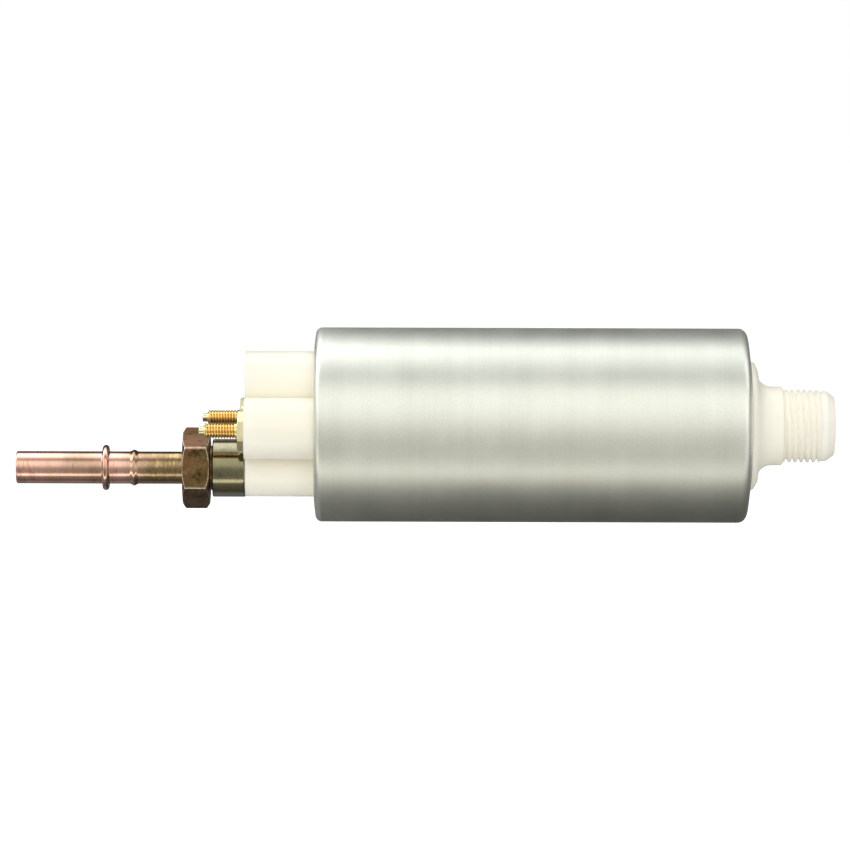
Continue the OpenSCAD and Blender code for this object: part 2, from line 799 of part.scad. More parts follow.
// The shaft's end with two flats that drive the inner rotor
module drive_outline(gap) {
    intersection() {
        circle(shaft_r + gap, $fn = round_fn);
        square([fit * drive_flats + 2 * gap, fit * shaft_d * 2], center = true);
    }
}

module armature_shaft() {
    shaft_x = bush_outlet_end_x - outlet_bush_len + 0.3;
    color("#c8ccd0") {
        rod(shaft_x, ring_x - shaft_x, shaft_r);
        rod(shoulder_x, shoulder_len, shoulder_r);
        slab(ring_x - 0.01, shaft_end_x - ring_x + 0.01) drive_outline(0);
    }
}

module laminations() {
    color("#6b6f73") slab(stack_x, stack_len) difference() {
        circle(core_r, $fn = round_fn);
        circle(shaft_hole_r, $fn = round_fn);
        for (i = [0 : slots - 1]) rotate(i * 360 / slots) {
            translate([slot_circle_r, 0]) circle(d = slot_d, $fn = 48);
            translate([slot_circle_r, -slot_mouth / 2]) square([core_r, slot_mouth]);
        }
    }
}

// Half section of the end turns, rounded on the side away from the stack
function end_turn_points(x, dir) = let (
    low = shaft_hole_r + 3.6,
    high = core_r - 1,
    r = end_turn_len / 2
) concat(
    [[low, x]],
    [for (a = [180 : -15 : 90]) [low + r + r * cos(a), x + dir * (end_turn_len - r + r * sin(a))]],
    [for (a = [90 : -15 : 0]) [high - r + r * cos(a), x + dir * (end_turn_len - r + r * sin(a))]],
    [[high, x]]
);

module windings() {
    wire_gap = 0.1;
    color("#b5622c") {
        turned(end_turn_points(stack_x - wire_gap, -1));
        turned(end_turn_points(stack_x + stack_len + wire_gap, 1));
        for (i = [0 : slots - 1])
            rotate([i * 360 / slots, 0, 0]) translate([0, slot_circle_r, 0])
                rod(stack_x - 1, stack_len + 2, slot_d / 2 - 0.2);
    }
}

module commutator_base() {
    base_x = segment_x + segment_t;
    color("#5a3a28") difference() {
        union() {
            rod(hub_x, windings_x - 0.2 - hub_x, hub_r);
            rod(base_x, commutator_base_t, commutator_r + 0.3);
        }
        rod(hub_x - 1, windings_x - hub_x + 2, shaft_hole_r);
    }
}

module commutator() {
    color("#b87333") slab(segment_x, segment_t) difference() {
        circle(commutator_r, $fn = round_fn);
        circle(segment_bore_r, $fn = round_fn);
        for (i = [0 : slots - 1]) rotate((i + 0.5) * 360 / slots)
            translate([0, -segment_gap / 2]) square([commutator_r * 2, segment_gap]);
    }
}

// Outline of the inner rotor: the path of a point that the lobe circle leaves as the rotors roll together,
// moved inwards by the lobes' radius along its normal
function rotor_point(t) = let (
    k = offset * outer_teeth,
    d = sqrt(pow(lobe_circle_r, 2) + k * k - 2 * lobe_circle_r * k * cos(inner_teeth * t)),
    in = (lobe_r + tooth_gap) / d
) [
    lobe_circle_r * cos(t) - offset * cos(outer_teeth * t) - in * (lobe_circle_r * cos(t) - k * cos(outer_teeth * t)),
    lobe_circle_r * sin(t) - offset * sin(outer_teeth * t) - in * (lobe_circle_r * sin(t) - k * sin(outer_teeth * t))
];

// Angles that lie closer together at the roots, where the outline runs fastest
function rotor_angle(a) = a - 0.85 / inner_teeth * sin(inner_teeth * a) * 180 / PI;

module inner_rotor() {
    steps = 20 * inner_teeth;
    color("#8f9498") slab(ring_x + rotor_gap, rotor_w - 2 * rotor_gap) difference() {
        polygon([for (i = [0 : steps - 1]) rotor_point(rotor_angle(i * 360 / steps))]);
        drive_outline(0.03);
    }
}

// The outer rotor turns about an axis that lies above the pump's axis by the offset
module outer_rotor() {
    mesh_turn = -90 / outer_teeth;
    color("#777c80") slab(ring_x + rotor_gap, rotor_w - 2 * rotor_gap)
        translate([0, offset]) difference() {
            circle(outer_rotor_r, $fn = round_fn);
            difference() {
                circle(cavity_r, $fn = round_fn);
                for (i = [0 : outer_teeth - 1]) rotate(mesh_turn + i * 360 / outer_teeth)
                    translate([lobe_circle_r, 0]) circle(lobe_r, $fn = 48);
            }
        }
}

// Kidney port on the +Y side of the line through both rotors' axes, with round ends
module kidney() {
    mid_r = lobe_circle_r - 1;
    half_w = 0.2 * lobe_circle_r;
    end_a = 58;
    translate([0, offset / 2]) polygon(concat(
        arc(0, 0, mid_r + half_w, -end_a, end_a, 20),
        arc(mid_r * cos(end_a), mid_r * sin(end_a), half_w, end_a, end_a + 180),
        arc(0, 0, mid_r - half_w, end_a, -end_a, 20),
        arc(mid_r * cos(end_a), -mid_r * sin(end_a), half_w, 180 - end_a, 360 - end_a)
    ));
}

module dowel_holes(gap) {
    for (side = [NEAR, FAR]) translate([side * fit * dowel_y, 0]) circle(d = dowel_d + 2 * gap, $fn = 32);
}

module pump_ring() {
    color("#a3a7aa") slab(ring_x, rotor_w) difference() {
        circle(seat_r, $fn = round_fn);
        translate([0, offset]) circle(outer_rotor_r + 0.06, $fn = round_fn);
        translate([0, -relief_z]) circle(relief_bore_r, $fn = 48);
        dowel_holes(seat_gap);
    }
}

module outlet_port_plate() {
    color("#b4b8ba") slab(outlet_plate_x, port_plate_t) difference() {
        circle(seat_r, $fn = round_fn);
        circle(bush_r + seat_gap, $fn = round_fn);
        mirror([1, 0]) kidney();
        translate([0, -relief_z]) circle(relief_seat_r, $fn = 32);
        dowel_holes(seat_gap);
    }
}

module inlet_port_plate() {
    color("#b4b8ba") slab(inlet_plate_x, port_plate_t) difference() {
        circle(seat_r, $fn = round_fn);
        kidney();
        translate([0, -relief_z]) circle(relief_coil_d / 2 - 0.4, $fn = 32);
        dowel_holes(seat_gap);
    }
}

module dowel_pins() {
    color("#c8ccd0") slab(outlet_plate_x + 1, 2 * port_plate_t + rotor_w - 2) dowel_holes(0);
}

// A head that closes the seat from the outlet side, guided by four wings in the seat's bore
module check_valve() {
    wing_len = 5;
    wing_w = fit * check_bore_d - 2 * slide_gap;
    color("#d8d2c0") translate([0, 0, -outlet_drop]) {
        turned([
            [0, check_head_x],
            [check_head_d / 2 - 0.5, check_head_x],
            [check_head_d / 2, check_head_x + 0.5],
            [check_head_d / 2, check_head_x + check_head_t],
            [0, check_head_x + check_head_t]
        ]);
        intersection() {
            rod(check_head_x, check_head_t + wing_len, wing_w / 2);
            union() {
                bar(check_head_x + 0.5, check_head_t + wing_len, wing_w, 0.9);
                bar(check_head_x + 0.5, check_head_t + wing_len, 0.9, wing_w);
            }
        }
    }
}

module check_valve_seat() {
    color("#d6a650") translate([0, 0, -outlet_drop])
        ring(check_seat_x, check_seat_t, fit * check_chamber_d / 2 - seat_gap, fit * check_bore_d / 2);
}

module check_valve_spring() {
    spring_x = shank_x + spring_play;
    color("#b8bcc0") translate([0, 0, -outlet_drop])
        coil(spring_x, check_head_x - spring_play - spring_x, check_coil_d / 2, check_wire_d / 2, 4, 14);
}

module relief_ball() {
    color("#c8ccd0") translate([relief_x, 0, -relief_z]) sphere(relief_ball_r, $fn = 64);
}

module relief_spring() {
    color("#b8bcc0") translate([0, 0, -relief_z])
        coil(relief_spring_x, inlet_plate_x - spring_play - relief_spring_x, relief_coil_d / 2,
            relief_wire_d / 2, 5);
}

can();
outlet_cover();
outlet_cover_seal();
inlet_cover();
inlet_cover_seal();
outlet_tube();
outlet_fitting();
outlet_collar();
outlet_seal();
terminal_near();
terminal_far();
choke_near();
choke_far();
brush_near();
brush_far();
brush_spring_near();
brush_spring_far();
brush_lead_near();
brush_lead_far();
magnet_near();
magnet_far();
magnet_clip_top();
magnet_clip_bottom();
bearing_outlet();
bearing_inlet();
thrust_washer_outlet();
thrust_washer_inlet();
armature_shaft();
laminations();
windings();
commutator_base();
commutator();
inner_rotor();
outer_rotor();
pump_ring();
outlet_port_plate();
inlet_port_plate();
dowel_pins();
check_valve();
check_valve_seat();
check_valve_spring();
relief_ball();
relief_spring();
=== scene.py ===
import json
import math

import bpy
import numpy as np
from mathutils import Matrix, Vector


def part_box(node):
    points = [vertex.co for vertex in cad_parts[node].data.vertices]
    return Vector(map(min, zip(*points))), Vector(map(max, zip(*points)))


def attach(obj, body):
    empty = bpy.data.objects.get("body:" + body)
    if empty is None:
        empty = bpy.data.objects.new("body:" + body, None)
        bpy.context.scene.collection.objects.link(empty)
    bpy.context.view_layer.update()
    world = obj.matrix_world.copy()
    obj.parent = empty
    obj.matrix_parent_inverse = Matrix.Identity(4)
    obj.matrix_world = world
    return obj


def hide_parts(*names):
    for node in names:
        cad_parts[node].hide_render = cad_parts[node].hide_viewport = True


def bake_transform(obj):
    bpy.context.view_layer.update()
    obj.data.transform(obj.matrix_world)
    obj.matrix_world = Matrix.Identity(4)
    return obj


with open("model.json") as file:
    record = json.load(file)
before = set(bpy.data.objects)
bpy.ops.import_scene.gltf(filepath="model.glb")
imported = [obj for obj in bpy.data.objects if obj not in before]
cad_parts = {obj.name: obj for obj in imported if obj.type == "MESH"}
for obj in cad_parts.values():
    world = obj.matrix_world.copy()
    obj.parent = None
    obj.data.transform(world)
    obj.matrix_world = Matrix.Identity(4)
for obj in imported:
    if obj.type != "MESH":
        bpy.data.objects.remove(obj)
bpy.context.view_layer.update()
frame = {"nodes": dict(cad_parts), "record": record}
scene = bpy.context.scene
scene.view_settings.view_transform = "Standard"
mm = 0.001
print("pump: frame loaded,", len(frame["nodes"]), "nodes")


# Surfaces: points on a grid of two parameters, as whole arrays

def filletedPath(corners, steps=6, closed=True):
    # corners are (x, r, fillet) in mm; at a corner p with half angle h the arc has its centre at
    # p + (a + b) / |a + b| * q / sin h and touches both sides at q / tan h from p
    table = np.array(corners, float)
    spots, q = table[:, :2], np.maximum(table[:, 2], 0.01)
    before, after = np.roll(spots, 1, 0) - spots, np.roll(spots, -1, 0) - spots
    lengthBefore, lengthAfter = np.linalg.norm(before, axis=1), np.linalg.norm(after, axis=1)
    a, b = before / lengthBefore[:, None], after / lengthAfter[:, None]
    half = np.arccos(np.clip((a * b).sum(1), -0.99999, 0.99999)) / 2
    reach = q / np.tan(half)
    # two arcs that meet on one side share it: both shrink by L / (reach + next reach) where that is under 1
    crowd = np.minimum(1, 0.94 * lengthAfter / (reach + np.roll(reach, -1)))
    reach = reach * np.minimum(crowd, np.roll(crowd, 1))
    q = reach * np.tan(half)
    middle = a + b
    centre = spots + middle / np.maximum(np.linalg.norm(middle, axis=1), 1e-9)[:, None] * (q / np.sin(half))[:, None]
    sweep = np.pi - 2 * half
    s = np.linspace(0, 1, steps + 1)[None, :, None]
    w = sweep[:, None, None]
    v0, v1 = spots + a * reach[:, None] - centre, spots + b * reach[:, None] - centre
    arcs = centre[:, None] + (np.sin((1 - s) * w) * v0[:, None] + np.sin(s * w) * v1[:, None]) / np.sin(w)
    # one more point on the straight at both sides of each arc keeps the shading of the flats level
    spareBefore = np.minimum(0.35 * q + 0.03, 0.3 * (lengthBefore - reach - np.roll(reach, 1)))[:, None]
    spareAfter = np.minimum(0.35 * q + 0.03, 0.3 * (lengthAfter - reach - np.roll(reach, -1)))[:, None]
    first = spots + a * (reach[:, None] + spareBefore)
    last = spots + b * (reach[:, None] + spareAfter)
    whole = np.concatenate([first[:, None], arcs, last[:, None]], 1)
    if closed:
        return whole.reshape(-1, 2)
    return np.concatenate([spots[:1], whole[1:-1].reshape(-1, 2), spots[-1:]])


def finePath(path, step):
    # the same path with extra points wherever two neighbours are further apart than step
    gaps = np.linalg.norm(np.diff(path, axis=0), axis=1)
    pieces = np.maximum(1, np.ceil(gaps / step).astype(int))
    along = np.repeat(np.arange(len(gaps)), pieces)
    start = np.repeat(np.cumsum(pieces) - pieces, pieces)
    share = (np.arange(pieces.sum()) - start) / pieces[along]
    points = path[along] + (path[along + 1] - path[along]) * share[:, None]
    return np.concatenate([points, path[-1:]])


def gridMesh(name, grid, ringClosed=True, poles=(False, False), wearAndRootShade=None):
    # rows follow the profile and columns go round; faces join neighbours, and the signed volume
    # sum(p0 . (p1 x p2)) / 6 says whether they look outwards
    rows, cols = grid.shape[:2]
    points = grid.reshape(-1, 3)
    i = np.arange(rows if ringClosed else rows - 1)[:, None]
    j = np.arange(cols)[None, :]
    down, right = (i + 1) % rows, (j + 1) % cols
    quads = np.stack([i * cols + j, i * cols + right, down * cols + right, down * cols + j], -1).reshape(-1, 4)
    fans = []
    for end, used in enumerate(poles):
        if used:
            edge = (0 if end == 0 else rows - 1) * cols + np.arange(cols)
            points = np.concatenate([points, points[edge].mean(0)[None]])
            tip = np.full(cols, len(points) - 1)
            following = np.roll(edge, -1)
            fans.append(np.stack([tip, following, edge] if end == 0 else [tip, edge, following], -1))
    triangles = np.concatenate([quads[:, [0, 1, 2]], quads[:, [0, 2, 3]]] + fans)
    corner = points[triangles]
    volume = np.einsum("ij,ij->i", corner[:, 0], np.cross(corner[:, 1], corner[:, 2])).sum()
    faces = quads.tolist() + [f for fan in fans for f in fan.tolist()]
    if volume < 0:
        faces = [f[::-1] for f in faces]
    mesh = bpy.data.meshes.new(name)
    mesh.from_pydata((points * mm).tolist(), [], faces)
    mesh.polygons.foreach_set("use_smooth", np.ones(len(faces), bool))
    # the second array goes on as a point attribute: worn edges, and painted shade in thread roots
    if wearAndRootShade is not None:
        spread = np.zeros(len(points))
        spread[:wearAndRootShade.size] = wearAndRootShade.ravel()
        mesh.attributes.new("wearAndRootShade", "FLOAT", "POINT").data.foreach_set("value", spread)
    mesh.update()
    piece = bpy.data.objects.new(name, mesh)
    scene.collection.objects.link(piece)
    return piece


def turnedPiece(name, path, count=192, centre=(0, 0), phase=0.0, shape=None, closed=True):
    # P(u, t) = (x(u), cy + r cos t, cz + r sin t), with r = r(u), or shape(x, r, t) for threads and hexagons,
    # which may give a second array, 0 to 1, for the worn edges and for the painted shade in a thread's roots
    turn = phase + np.arange(count) * 2 * np.pi / count
    poles = (not closed and path[0, 1] < 1e-6, not closed and path[-1, 1] < 1e-6)
    rows = path[1 if poles[0] else 0: len(path) - (1 if poles[1] else 0)]
    x, r = np.broadcast_arrays(rows[:, 0][:, None], rows[:, 1][:, None] + 0 * turn[None, :])
    t = np.broadcast_to(turn[None, :], r.shape)
    wearAndRootShade = None
    if shape:
        r = shape(x, r, t)
        if isinstance(r, tuple):
            r, wearAndRootShade = r
    grid = np.stack([x, centre[0] + r * np.cos(t), centre[1] + r * np.sin(t)], -1)
    return gridMesh(name, grid, closed, poles, wearAndRootShade)


def softMin(a, b, k):
    # the smaller of a and b, rounded off by k / 4 where they meet
    h = np.maximum(k - np.abs(a - b), 0) / k
    return np.minimum(a, b) - h * h * k / 4


def hexagonRadius(t, corners, turn):
    # six flats at apothem d: r = d / (sum max(cos(t - t_i), 0)^p)^(1/p), so the corners are a little round
    power = 70
    flats = math.radians(turn + 30) + np.arange(6) * np.pi / 3
    lobes = np.maximum(np.cos(t[..., None] - flats), 0) ** power
    return corners / 2 * math.cos(math.pi / 6) / lobes.sum(-1) ** (1 / power)


def threadDepth(x, t, start, end, pitch, depth, fade, crest=0.12):
    # a groove of V section along x = start + pitch (t / 2 pi + lead + n), with a root as wide as 2 root * pitch
    # between crests as wide as crest * pitch; it grows from nothing at both ends
    lead, root = 0.35, 0.06
    f = (x - start) / pitch - lead - (t - np.pi) / (2 * np.pi)
    f = np.abs(f - np.floor(f + 0.5))
    groove = np.clip((0.5 - crest / 2 - f) / (0.5 - root - crest / 2), 0, 1)
    window = np.clip((x - start) / fade, 0, 1) * np.clip((end - x) / fade, 0, 1)
    return depth * groove * window


# Materials: every pattern reads Object coordinates

def linear(colour):
    # sRGB numbers from 0 to 255 as the linear light that the shader wants
    c = np.array(colour, float) / 255
    return tuple(np.where(c <= 0.04045, c / 12.92, ((c + 0.055) / 1.055) ** 2.4)) + (1.0,)


def fillRamp(ramp, stops):
    # the first and last band take the end stops, and each one between them is made at its own place
    bands = ramp.elements
    bands[0].position, bands[0].color = stops[0]
    bands[-1].position, bands[-1].color = stops[-1]
    for at, colour in stops[1:-1]:
        bands.new(at).color = colour


class Finish:
    # a Principled material with short calls for the nodes that the finishes below use
    def __init__(self, name, colour, metallic=0.0, roughness=0.5, **sockets):
        self.material = bpy.data.materials.new(name)
        self.material.use_nodes = True
        self.tree = self.material.node_tree
        self.shader = self.tree.nodes["Principled BSDF"]
        self.set("Base Color", linear(colour))
        self.set("Metallic", metallic)
        self.set("Roughness", roughness)
        for socket, value in sockets.items():
            self.set(socket.replace("_", " "), value)
        self.material.diffuse_color = linear(colour)

    def set(self, socket, value):
        self.shader.inputs[socket].default_value = value

    def node(self, kind, **values):
        made = self.tree.nodes.new(kind)
        for key, value in values.items():
            if hasattr(made, key):
                setattr(made, key, value)
            else:
                made.inputs[key.replace("_", " ")].default_value = value
        return made

    def link(self, source, target):
        self.tree.links.new(source, target)

    def place(self, scale=(1, 1, 1), shift=(0, 0, 0)):
        coordinates = self.node("ShaderNodeTexCoord")
        mapping = self.node("ShaderNodeMapping")
        mapping.inputs["Scale"].default_value = scale
        mapping.inputs["Location"].default_value = shift
        self.link(coordinates.outputs["Object"], mapping.inputs["Vector"])
        return mapping.outputs["Vector"]

    def noise(self, scale, stretch=(1, 1, 1), detail=3.0, roughness=0.5, shift=(0, 0, 0)):
        texture = self.node("ShaderNodeTexNoise", Scale=scale, Detail=detail, Roughness=roughness)
        self.link(self.place(stretch, shift), texture.inputs["Vector"])
        return texture.outputs["Fac"]

    def cells(self, scale):
        texture = self.node("ShaderNodeTexVoronoi", Scale=scale)
        self.link(self.place(), texture.inputs["Vector"])
        return texture.outputs["Distance"]

    def waves(self, scale, direction, distortion):
        texture = self.node("ShaderNodeTexWave", bands_direction=direction, wave_profile="SIN")
        texture.inputs["Scale"].default_value = scale
        texture.inputs["Distortion"].default_value = distortion
        texture.inputs["Detail"].default_value = 1.0
        self.link(self.place(), texture.inputs["Vector"])
        return texture.outputs["Fac"]

    def along(self, start, end):
        # 0 to 1 from x = start to x = end, in mm
        coordinates = self.node("ShaderNodeTexCoord")
        split = self.node("ShaderNodeSeparateXYZ")
        span = self.node("ShaderNodeMapRange")
        self.link(coordinates.outputs["Object"], split.inputs[0])
        self.link(split.outputs["X"], span.inputs["Value"])
        span.inputs["From Min"].default_value = start * mm
        span.inputs["From Max"].default_value = end * mm
        return span.outputs["Result"]

    def ramp(self, factor, stops):
        made = self.node("ShaderNodeValToRGB")
        fillRamp(made.color_ramp, [(at, linear(colour)) for at, colour in stops])
        self.link(factor, made.inputs["Fac"])
        return made.outputs["Color"]

    def colourFrom(self, factor, stops):
        self.link(self.ramp(factor, stops), self.shader.inputs["Base Color"])

    def mixed(self, factor, one, two, blend="MIX"):
        made = self.node("ShaderNodeMix", data_type="RGBA", blend_type=blend)
        for value, target in ((factor, made.inputs[0]), (one, made.inputs[6]), (two, made.inputs[7])):
            if hasattr(value, "links"):
                self.link(value, target)
            else:
                target.default_value = value
        return made.outputs[2]

    def roughFrom(self, factor, low, high):
        span = self.node("ShaderNodeMapRange")
        span.inputs["To Min"].default_value = low
        span.inputs["To Max"].default_value = high
        self.link(factor, span.inputs["Value"])
        self.link(span.outputs["Result"], self.shader.inputs["Roughness"])

    def bumpFrom(self, *heights, rounding=None):
        # each height is (factor, strength, distance in metres); they add up one after another, over edges
        # that are rounded by a radius in mm
        previous = None
        if rounding:
            previous = self.node("ShaderNodeBevel", samples=4)
            previous.inputs["Radius"].default_value = rounding * mm
        for factor, strength, distance in heights:
            bump = self.node("ShaderNodeBump", Strength=strength, Distance=distance)
            self.link(factor, bump.inputs["Height"])
            if previous:
                self.link(previous.outputs["Normal"], bump.inputs["Normal"])
            previous = bump
        self.link(previous.outputs["Normal"], self.shader.inputs["Normal"])


def zincSteel():
    look = {"colour": (222, 223, 216), "dull": (212, 214, 205), "roughness": 0.43, "speckle": 5200}
    f = Finish("zincSteel", look["colour"], 1.0, look["roughness"])
    speckle = f.noise(look["speckle"], detail=4, roughness=0.65)
    clouds = f.noise(70, (1.6, 1, 1), detail=4)
    bands = f.noise(260, (1, 0.02, 0.02), detail=3, roughness=0.7)
    tone = f.mixed(0.35, f.ramp(speckle, [(0.32, (204, 207, 198)), (0.52, look["colour"]), (0.7, (236, 236, 230))]),
                   f.ramp(clouds, [(0.3, look["dull"]), (0.65, (229, 230, 223))]))
    tone = f.mixed(0.12, tone, f.ramp(bands, [(0.3, (206, 210, 202)), (0.6, (255, 255, 252))]), "MULTIPLY")
    f.link(tone, f.shader.inputs["Base Color"])
    f.roughFrom(clouds, look["roughness"] - 0.03, look["roughness"] + 0.05)
    f.bumpFrom((speckle, 0.16, 0.00002))
    return f.material


def whiteAcetal():
    look = {"colour": (252, 248, 232), "warm": (251, 246, 227), "roughness": 0.36}
    f = Finish("whiteAcetal", look["colour"], 0.0, look["roughness"], IOR=1.48)
    f.set("Subsurface Weight", 0.25)
    f.set("Subsurface Scale", 0.0012)
    f.set("Subsurface Radius", (1.0, 0.85, 0.6))
    clouds = f.noise(45, detail=4)
    grain = f.noise(2600, detail=3)
    f.colourFrom(clouds, [(0.3, look["warm"]), (0.7, (253, 250, 237))])
    f.roughFrom(clouds, 0.32, 0.42)
    f.bumpFrom((grain, 0.10, 0.00003), (clouds, 0.05, 0.0002), rounding=0.5)
    return f.material


def chromatedSteel(name, warm, olive, roughness, coat, film, mottle, share, drift=None, worn=None):
    # passivated steel: two ramps of interference colours over film + mottle, mixed by slow clouds; film and
    # mottle are (scale, stretch), coat is the gloss of the film as (weight, IOR), drift is (from x, to x, weight)
    # for a tone that turns darker and olive along X, and worn is the colour of the worn edges that the piece's
    # attribute marks
    f = Finish(name, warm[1][1], 1.0, roughness)
    f.set("Coat Weight", coat[0])
    f.set("Coat IOR", coat[1])
    f.set("Coat Roughness", 0.1)
    large = f.noise(film[0], film[1], detail=5, roughness=0.6)
    fine = f.noise(mottle[0], mottle[1], detail=4, roughness=0.65, shift=(3, 1, 2))
    blend = f.mixed(share, large, fine)
    clouds = f.noise(film[0] * 0.6, film[1], detail=2, shift=(5, 2, 7))
    if drift:
        clouds = f.mixed(drift[2], clouds, f.along(drift[0], drift[1]))
    side = f.ramp(clouds, [(0.42, (0, 0, 0)), (0.58, (255, 255, 255))])
    tone = f.mixed(side, f.ramp(blend, warm), f.ramp(blend, olive))
    if worn:
        edge = f.node("ShaderNodeAttribute", attribute_name="wearAndRootShade")
        rub = f.node("ShaderNodeMath", operation="MULTIPLY")
        f.link(edge.outputs["Fac"], rub.inputs[0])
        f.link(f.ramp(fine, [(0.3, (150, 150, 150)), (0.55, (255, 255, 255))]), rub.inputs[1])
        tone = f.mixed(rub.outputs[0], tone, linear(worn))
    f.link(tone, f.shader.inputs["Base Color"])
    f.roughFrom(fine, roughness - 0.05, roughness + 0.08)
    f.bumpFrom((f.cells(2000), 0.10, 0.00003), (fine, 0.14, 0.00003))
    return f.material


def brass():
    # the attribute is 0 in the roots of the thread, where a darker brass colour paints their shade, 0.5 on its
    # crests, and 1 on the flange and the dog point, which keep a paler plating
    f = Finish("terminalBrass", (238, 202, 124), 1.0, 0.2)
    clouds = f.noise(380, detail=4)
    turned = f.noise(3200, (8, 0.3, 0.3), detail=2)
    worn = f.node("ShaderNodeAttribute", attribute_name="wearAndRootShade")
    # painted shade: the darker brass that the roots of the thread take
    paintedRootShade = f.ramp(clouds, [(0.3, (220, 172, 98)), (0.7, (234, 192, 118))])
    plain = f.ramp(clouds, [(0.3, (246, 216, 146)), (0.55, (252, 230, 166)), (0.75, (253, 238, 184))])
    pale = f.ramp(clouds, [(0.3, (222, 214, 170)), (0.7, (240, 234, 200))])
    # crest puts the painted shade in the thread's roots and the plain brass on its crests
    crest = f.ramp(worn.outputs["Fac"], [(0.1, (0, 0, 0)), (0.5, (255, 255, 255))])
    plating = f.ramp(worn.outputs["Fac"], [(0.55, (0, 0, 0)), (0.95, (255, 255, 255))])
    f.link(f.mixed(plating, f.mixed(crest, paintedRootShade, plain), pale), f.shader.inputs["Base Color"])
    f.roughFrom(clouds, 0.16, 0.28)
    f.bumpFrom((turned, 0.10, 0.00002))
    return f.material


def rubber():
    f = Finish("sealRubber", (30, 30, 31), 0.0, 0.6)
    grain = f.noise(3000, detail=4)
    f.colourFrom(f.noise(300), [(0.3, (22, 22, 23)), (0.7, (40, 40, 41))])
    f.roughFrom(grain, 0.5, 0.72)
    f.bumpFrom((grain, 0.3, 0.00004))
    return f.material


def enamelledWire():
    # close turns: a wave across X and Z gives the rows of wire, with painted shade in the grooves between them, and
    # a noise their colour
    f = Finish("enamelledWire", (176, 88, 42), 1.0, 0.28)
    rows = f.waves(1250, "DIAGONAL", 1.5)
    clouds = f.noise(240, detail=3)
    # the wave's dark end is painted shade between the turns
    f.link(f.mixed(0.55, f.ramp(rows, [(0.1, (96, 40, 18)), (0.6, (196, 104, 52))]),
                   f.ramp(clouds, [(0.3, (150, 70, 32)), (0.7, (214, 126, 66))])), f.shader.inputs["Base Color"])
    f.set("Coat Weight", 0.5)
    f.set("Coat Roughness", 0.12)
    f.bumpFrom((rows, 0.6, 0.00012))
    return f.material


def carbon():
    f = Finish("carbon", (52, 52, 55), 0.0, 0.45, Specular_IOR_Level=0.6)
    grain = f.noise(4200, detail=4)
    f.colourFrom(grain, [(0.35, (34, 34, 37)), (0.62, (66, 66, 70)), (0.75, (120, 116, 110))])
    f.roughFrom(grain, 0.35, 0.6)
    f.bumpFrom((grain, 0.25, 0.00003))
    return f.material


def drawnSteel(name, colour, roughness, lines, across=(8, 1, 1)):
    # fine lines along or across the work, as drawing or grinding leaves them
    f = Finish(name, colour, 1.0, roughness)
    marks = f.noise(lines, across, detail=3)
    clouds = f.noise(160, detail=3)
    low = tuple(int(c * 0.84) for c in colour)
    f.colourFrom(clouds, [(0.3, low), (0.7, colour)])
    f.roughFrom(marks, roughness - 0.06, roughness + 0.08)
    f.bumpFrom((marks, 0.15, 0.00002))
    return f.material


def sintered(name, colour, roughness):
    # pressed powder: pores between grains, darker where the oil stands
    f = Finish(name, colour, 1.0, roughness)
    grains = f.cells(3600)
    clouds = f.noise(420, detail=4)
    low = tuple(int(c * 0.62) for c in colour)
    f.link(f.mixed(0.5, f.ramp(grains, [(0.15, low), (0.5, colour)]), f.ramp(clouds, [(0.3, low), (0.65, colour)])),
           f.shader.inputs["Base Color"])
    f.roughFrom(clouds, roughness, roughness + 0.15)
    f.bumpFrom((grains, 0.35, 0.00005))
    return f.material


def ferrite():
    f = Finish("ferrite", (58, 60, 64), 0.0, 0.55)
    grain = f.noise(2600, detail=5)
    f.colourFrom(grain, [(0.3, (42, 44, 48)), (0.6, (66, 68, 72)), (0.8, (92, 92, 94))])
    f.roughFrom(grain, 0.45, 0.7)
    f.bumpFrom((grain, 0.4, 0.00005))
    return f.material


def laminationSteel():
    # half-millimetre sheets stacked along X: a wave along X draws their edges
    f = Finish("laminationSteel", (120, 124, 130), 1.0, 0.35)
    sheets = f.waves(314, "X", 0.4)
    clouds = f.noise(200, detail=4)
    f.link(f.mixed(0.5, f.ramp(sheets, [(0.08, (52, 54, 58)), (0.3, (150, 154, 160))]),
                   f.ramp(clouds, [(0.3, (96, 100, 108)), (0.7, (156, 158, 162))])), f.shader.inputs["Base Color"])
    f.roughFrom(clouds, 0.3, 0.45)
    f.bumpFrom((sheets, 0.7, 0.00015))
    return f.material


def brownPhenolic():
    f = Finish("brownPhenolic", (92, 54, 34), 0.0, 0.38)
    clouds = f.noise(260, detail=5)
    f.colourFrom(clouds, [(0.3, (70, 38, 24)), (0.55, (98, 58, 38)), (0.75, (124, 80, 54))])
    f.bumpFrom((f.noise(2400), 0.15, 0.00003))
    return f.material


def naturalNylon():
    f = Finish("naturalNylon", (226, 218, 196), 0.0, 0.34)
    f.set("Subsurface Weight", 0.3)
    f.set("Subsurface Scale", 0.001)
    f.colourFrom(f.noise(180, detail=3), [(0.3, (214, 204, 180)), (0.7, (236, 230, 212))])
    f.bumpFrom((f.noise(2200), 0.12, 0.00003))
    return f.material


def diecast():
    f = Finish("dieCastPlate", (186, 190, 194), 1.0, 0.34)
    lapped = f.noise(2600, (1, 0.15, 1), detail=3)
    clouds = f.noise(120, detail=4)
    f.colourFrom(clouds, [(0.3, (160, 164, 168)), (0.7, (204, 207, 210))])
    f.roughFrom(lapped, 0.28, 0.46)
    f.bumpFrom((lapped, 0.2, 0.00003))
    return f.material


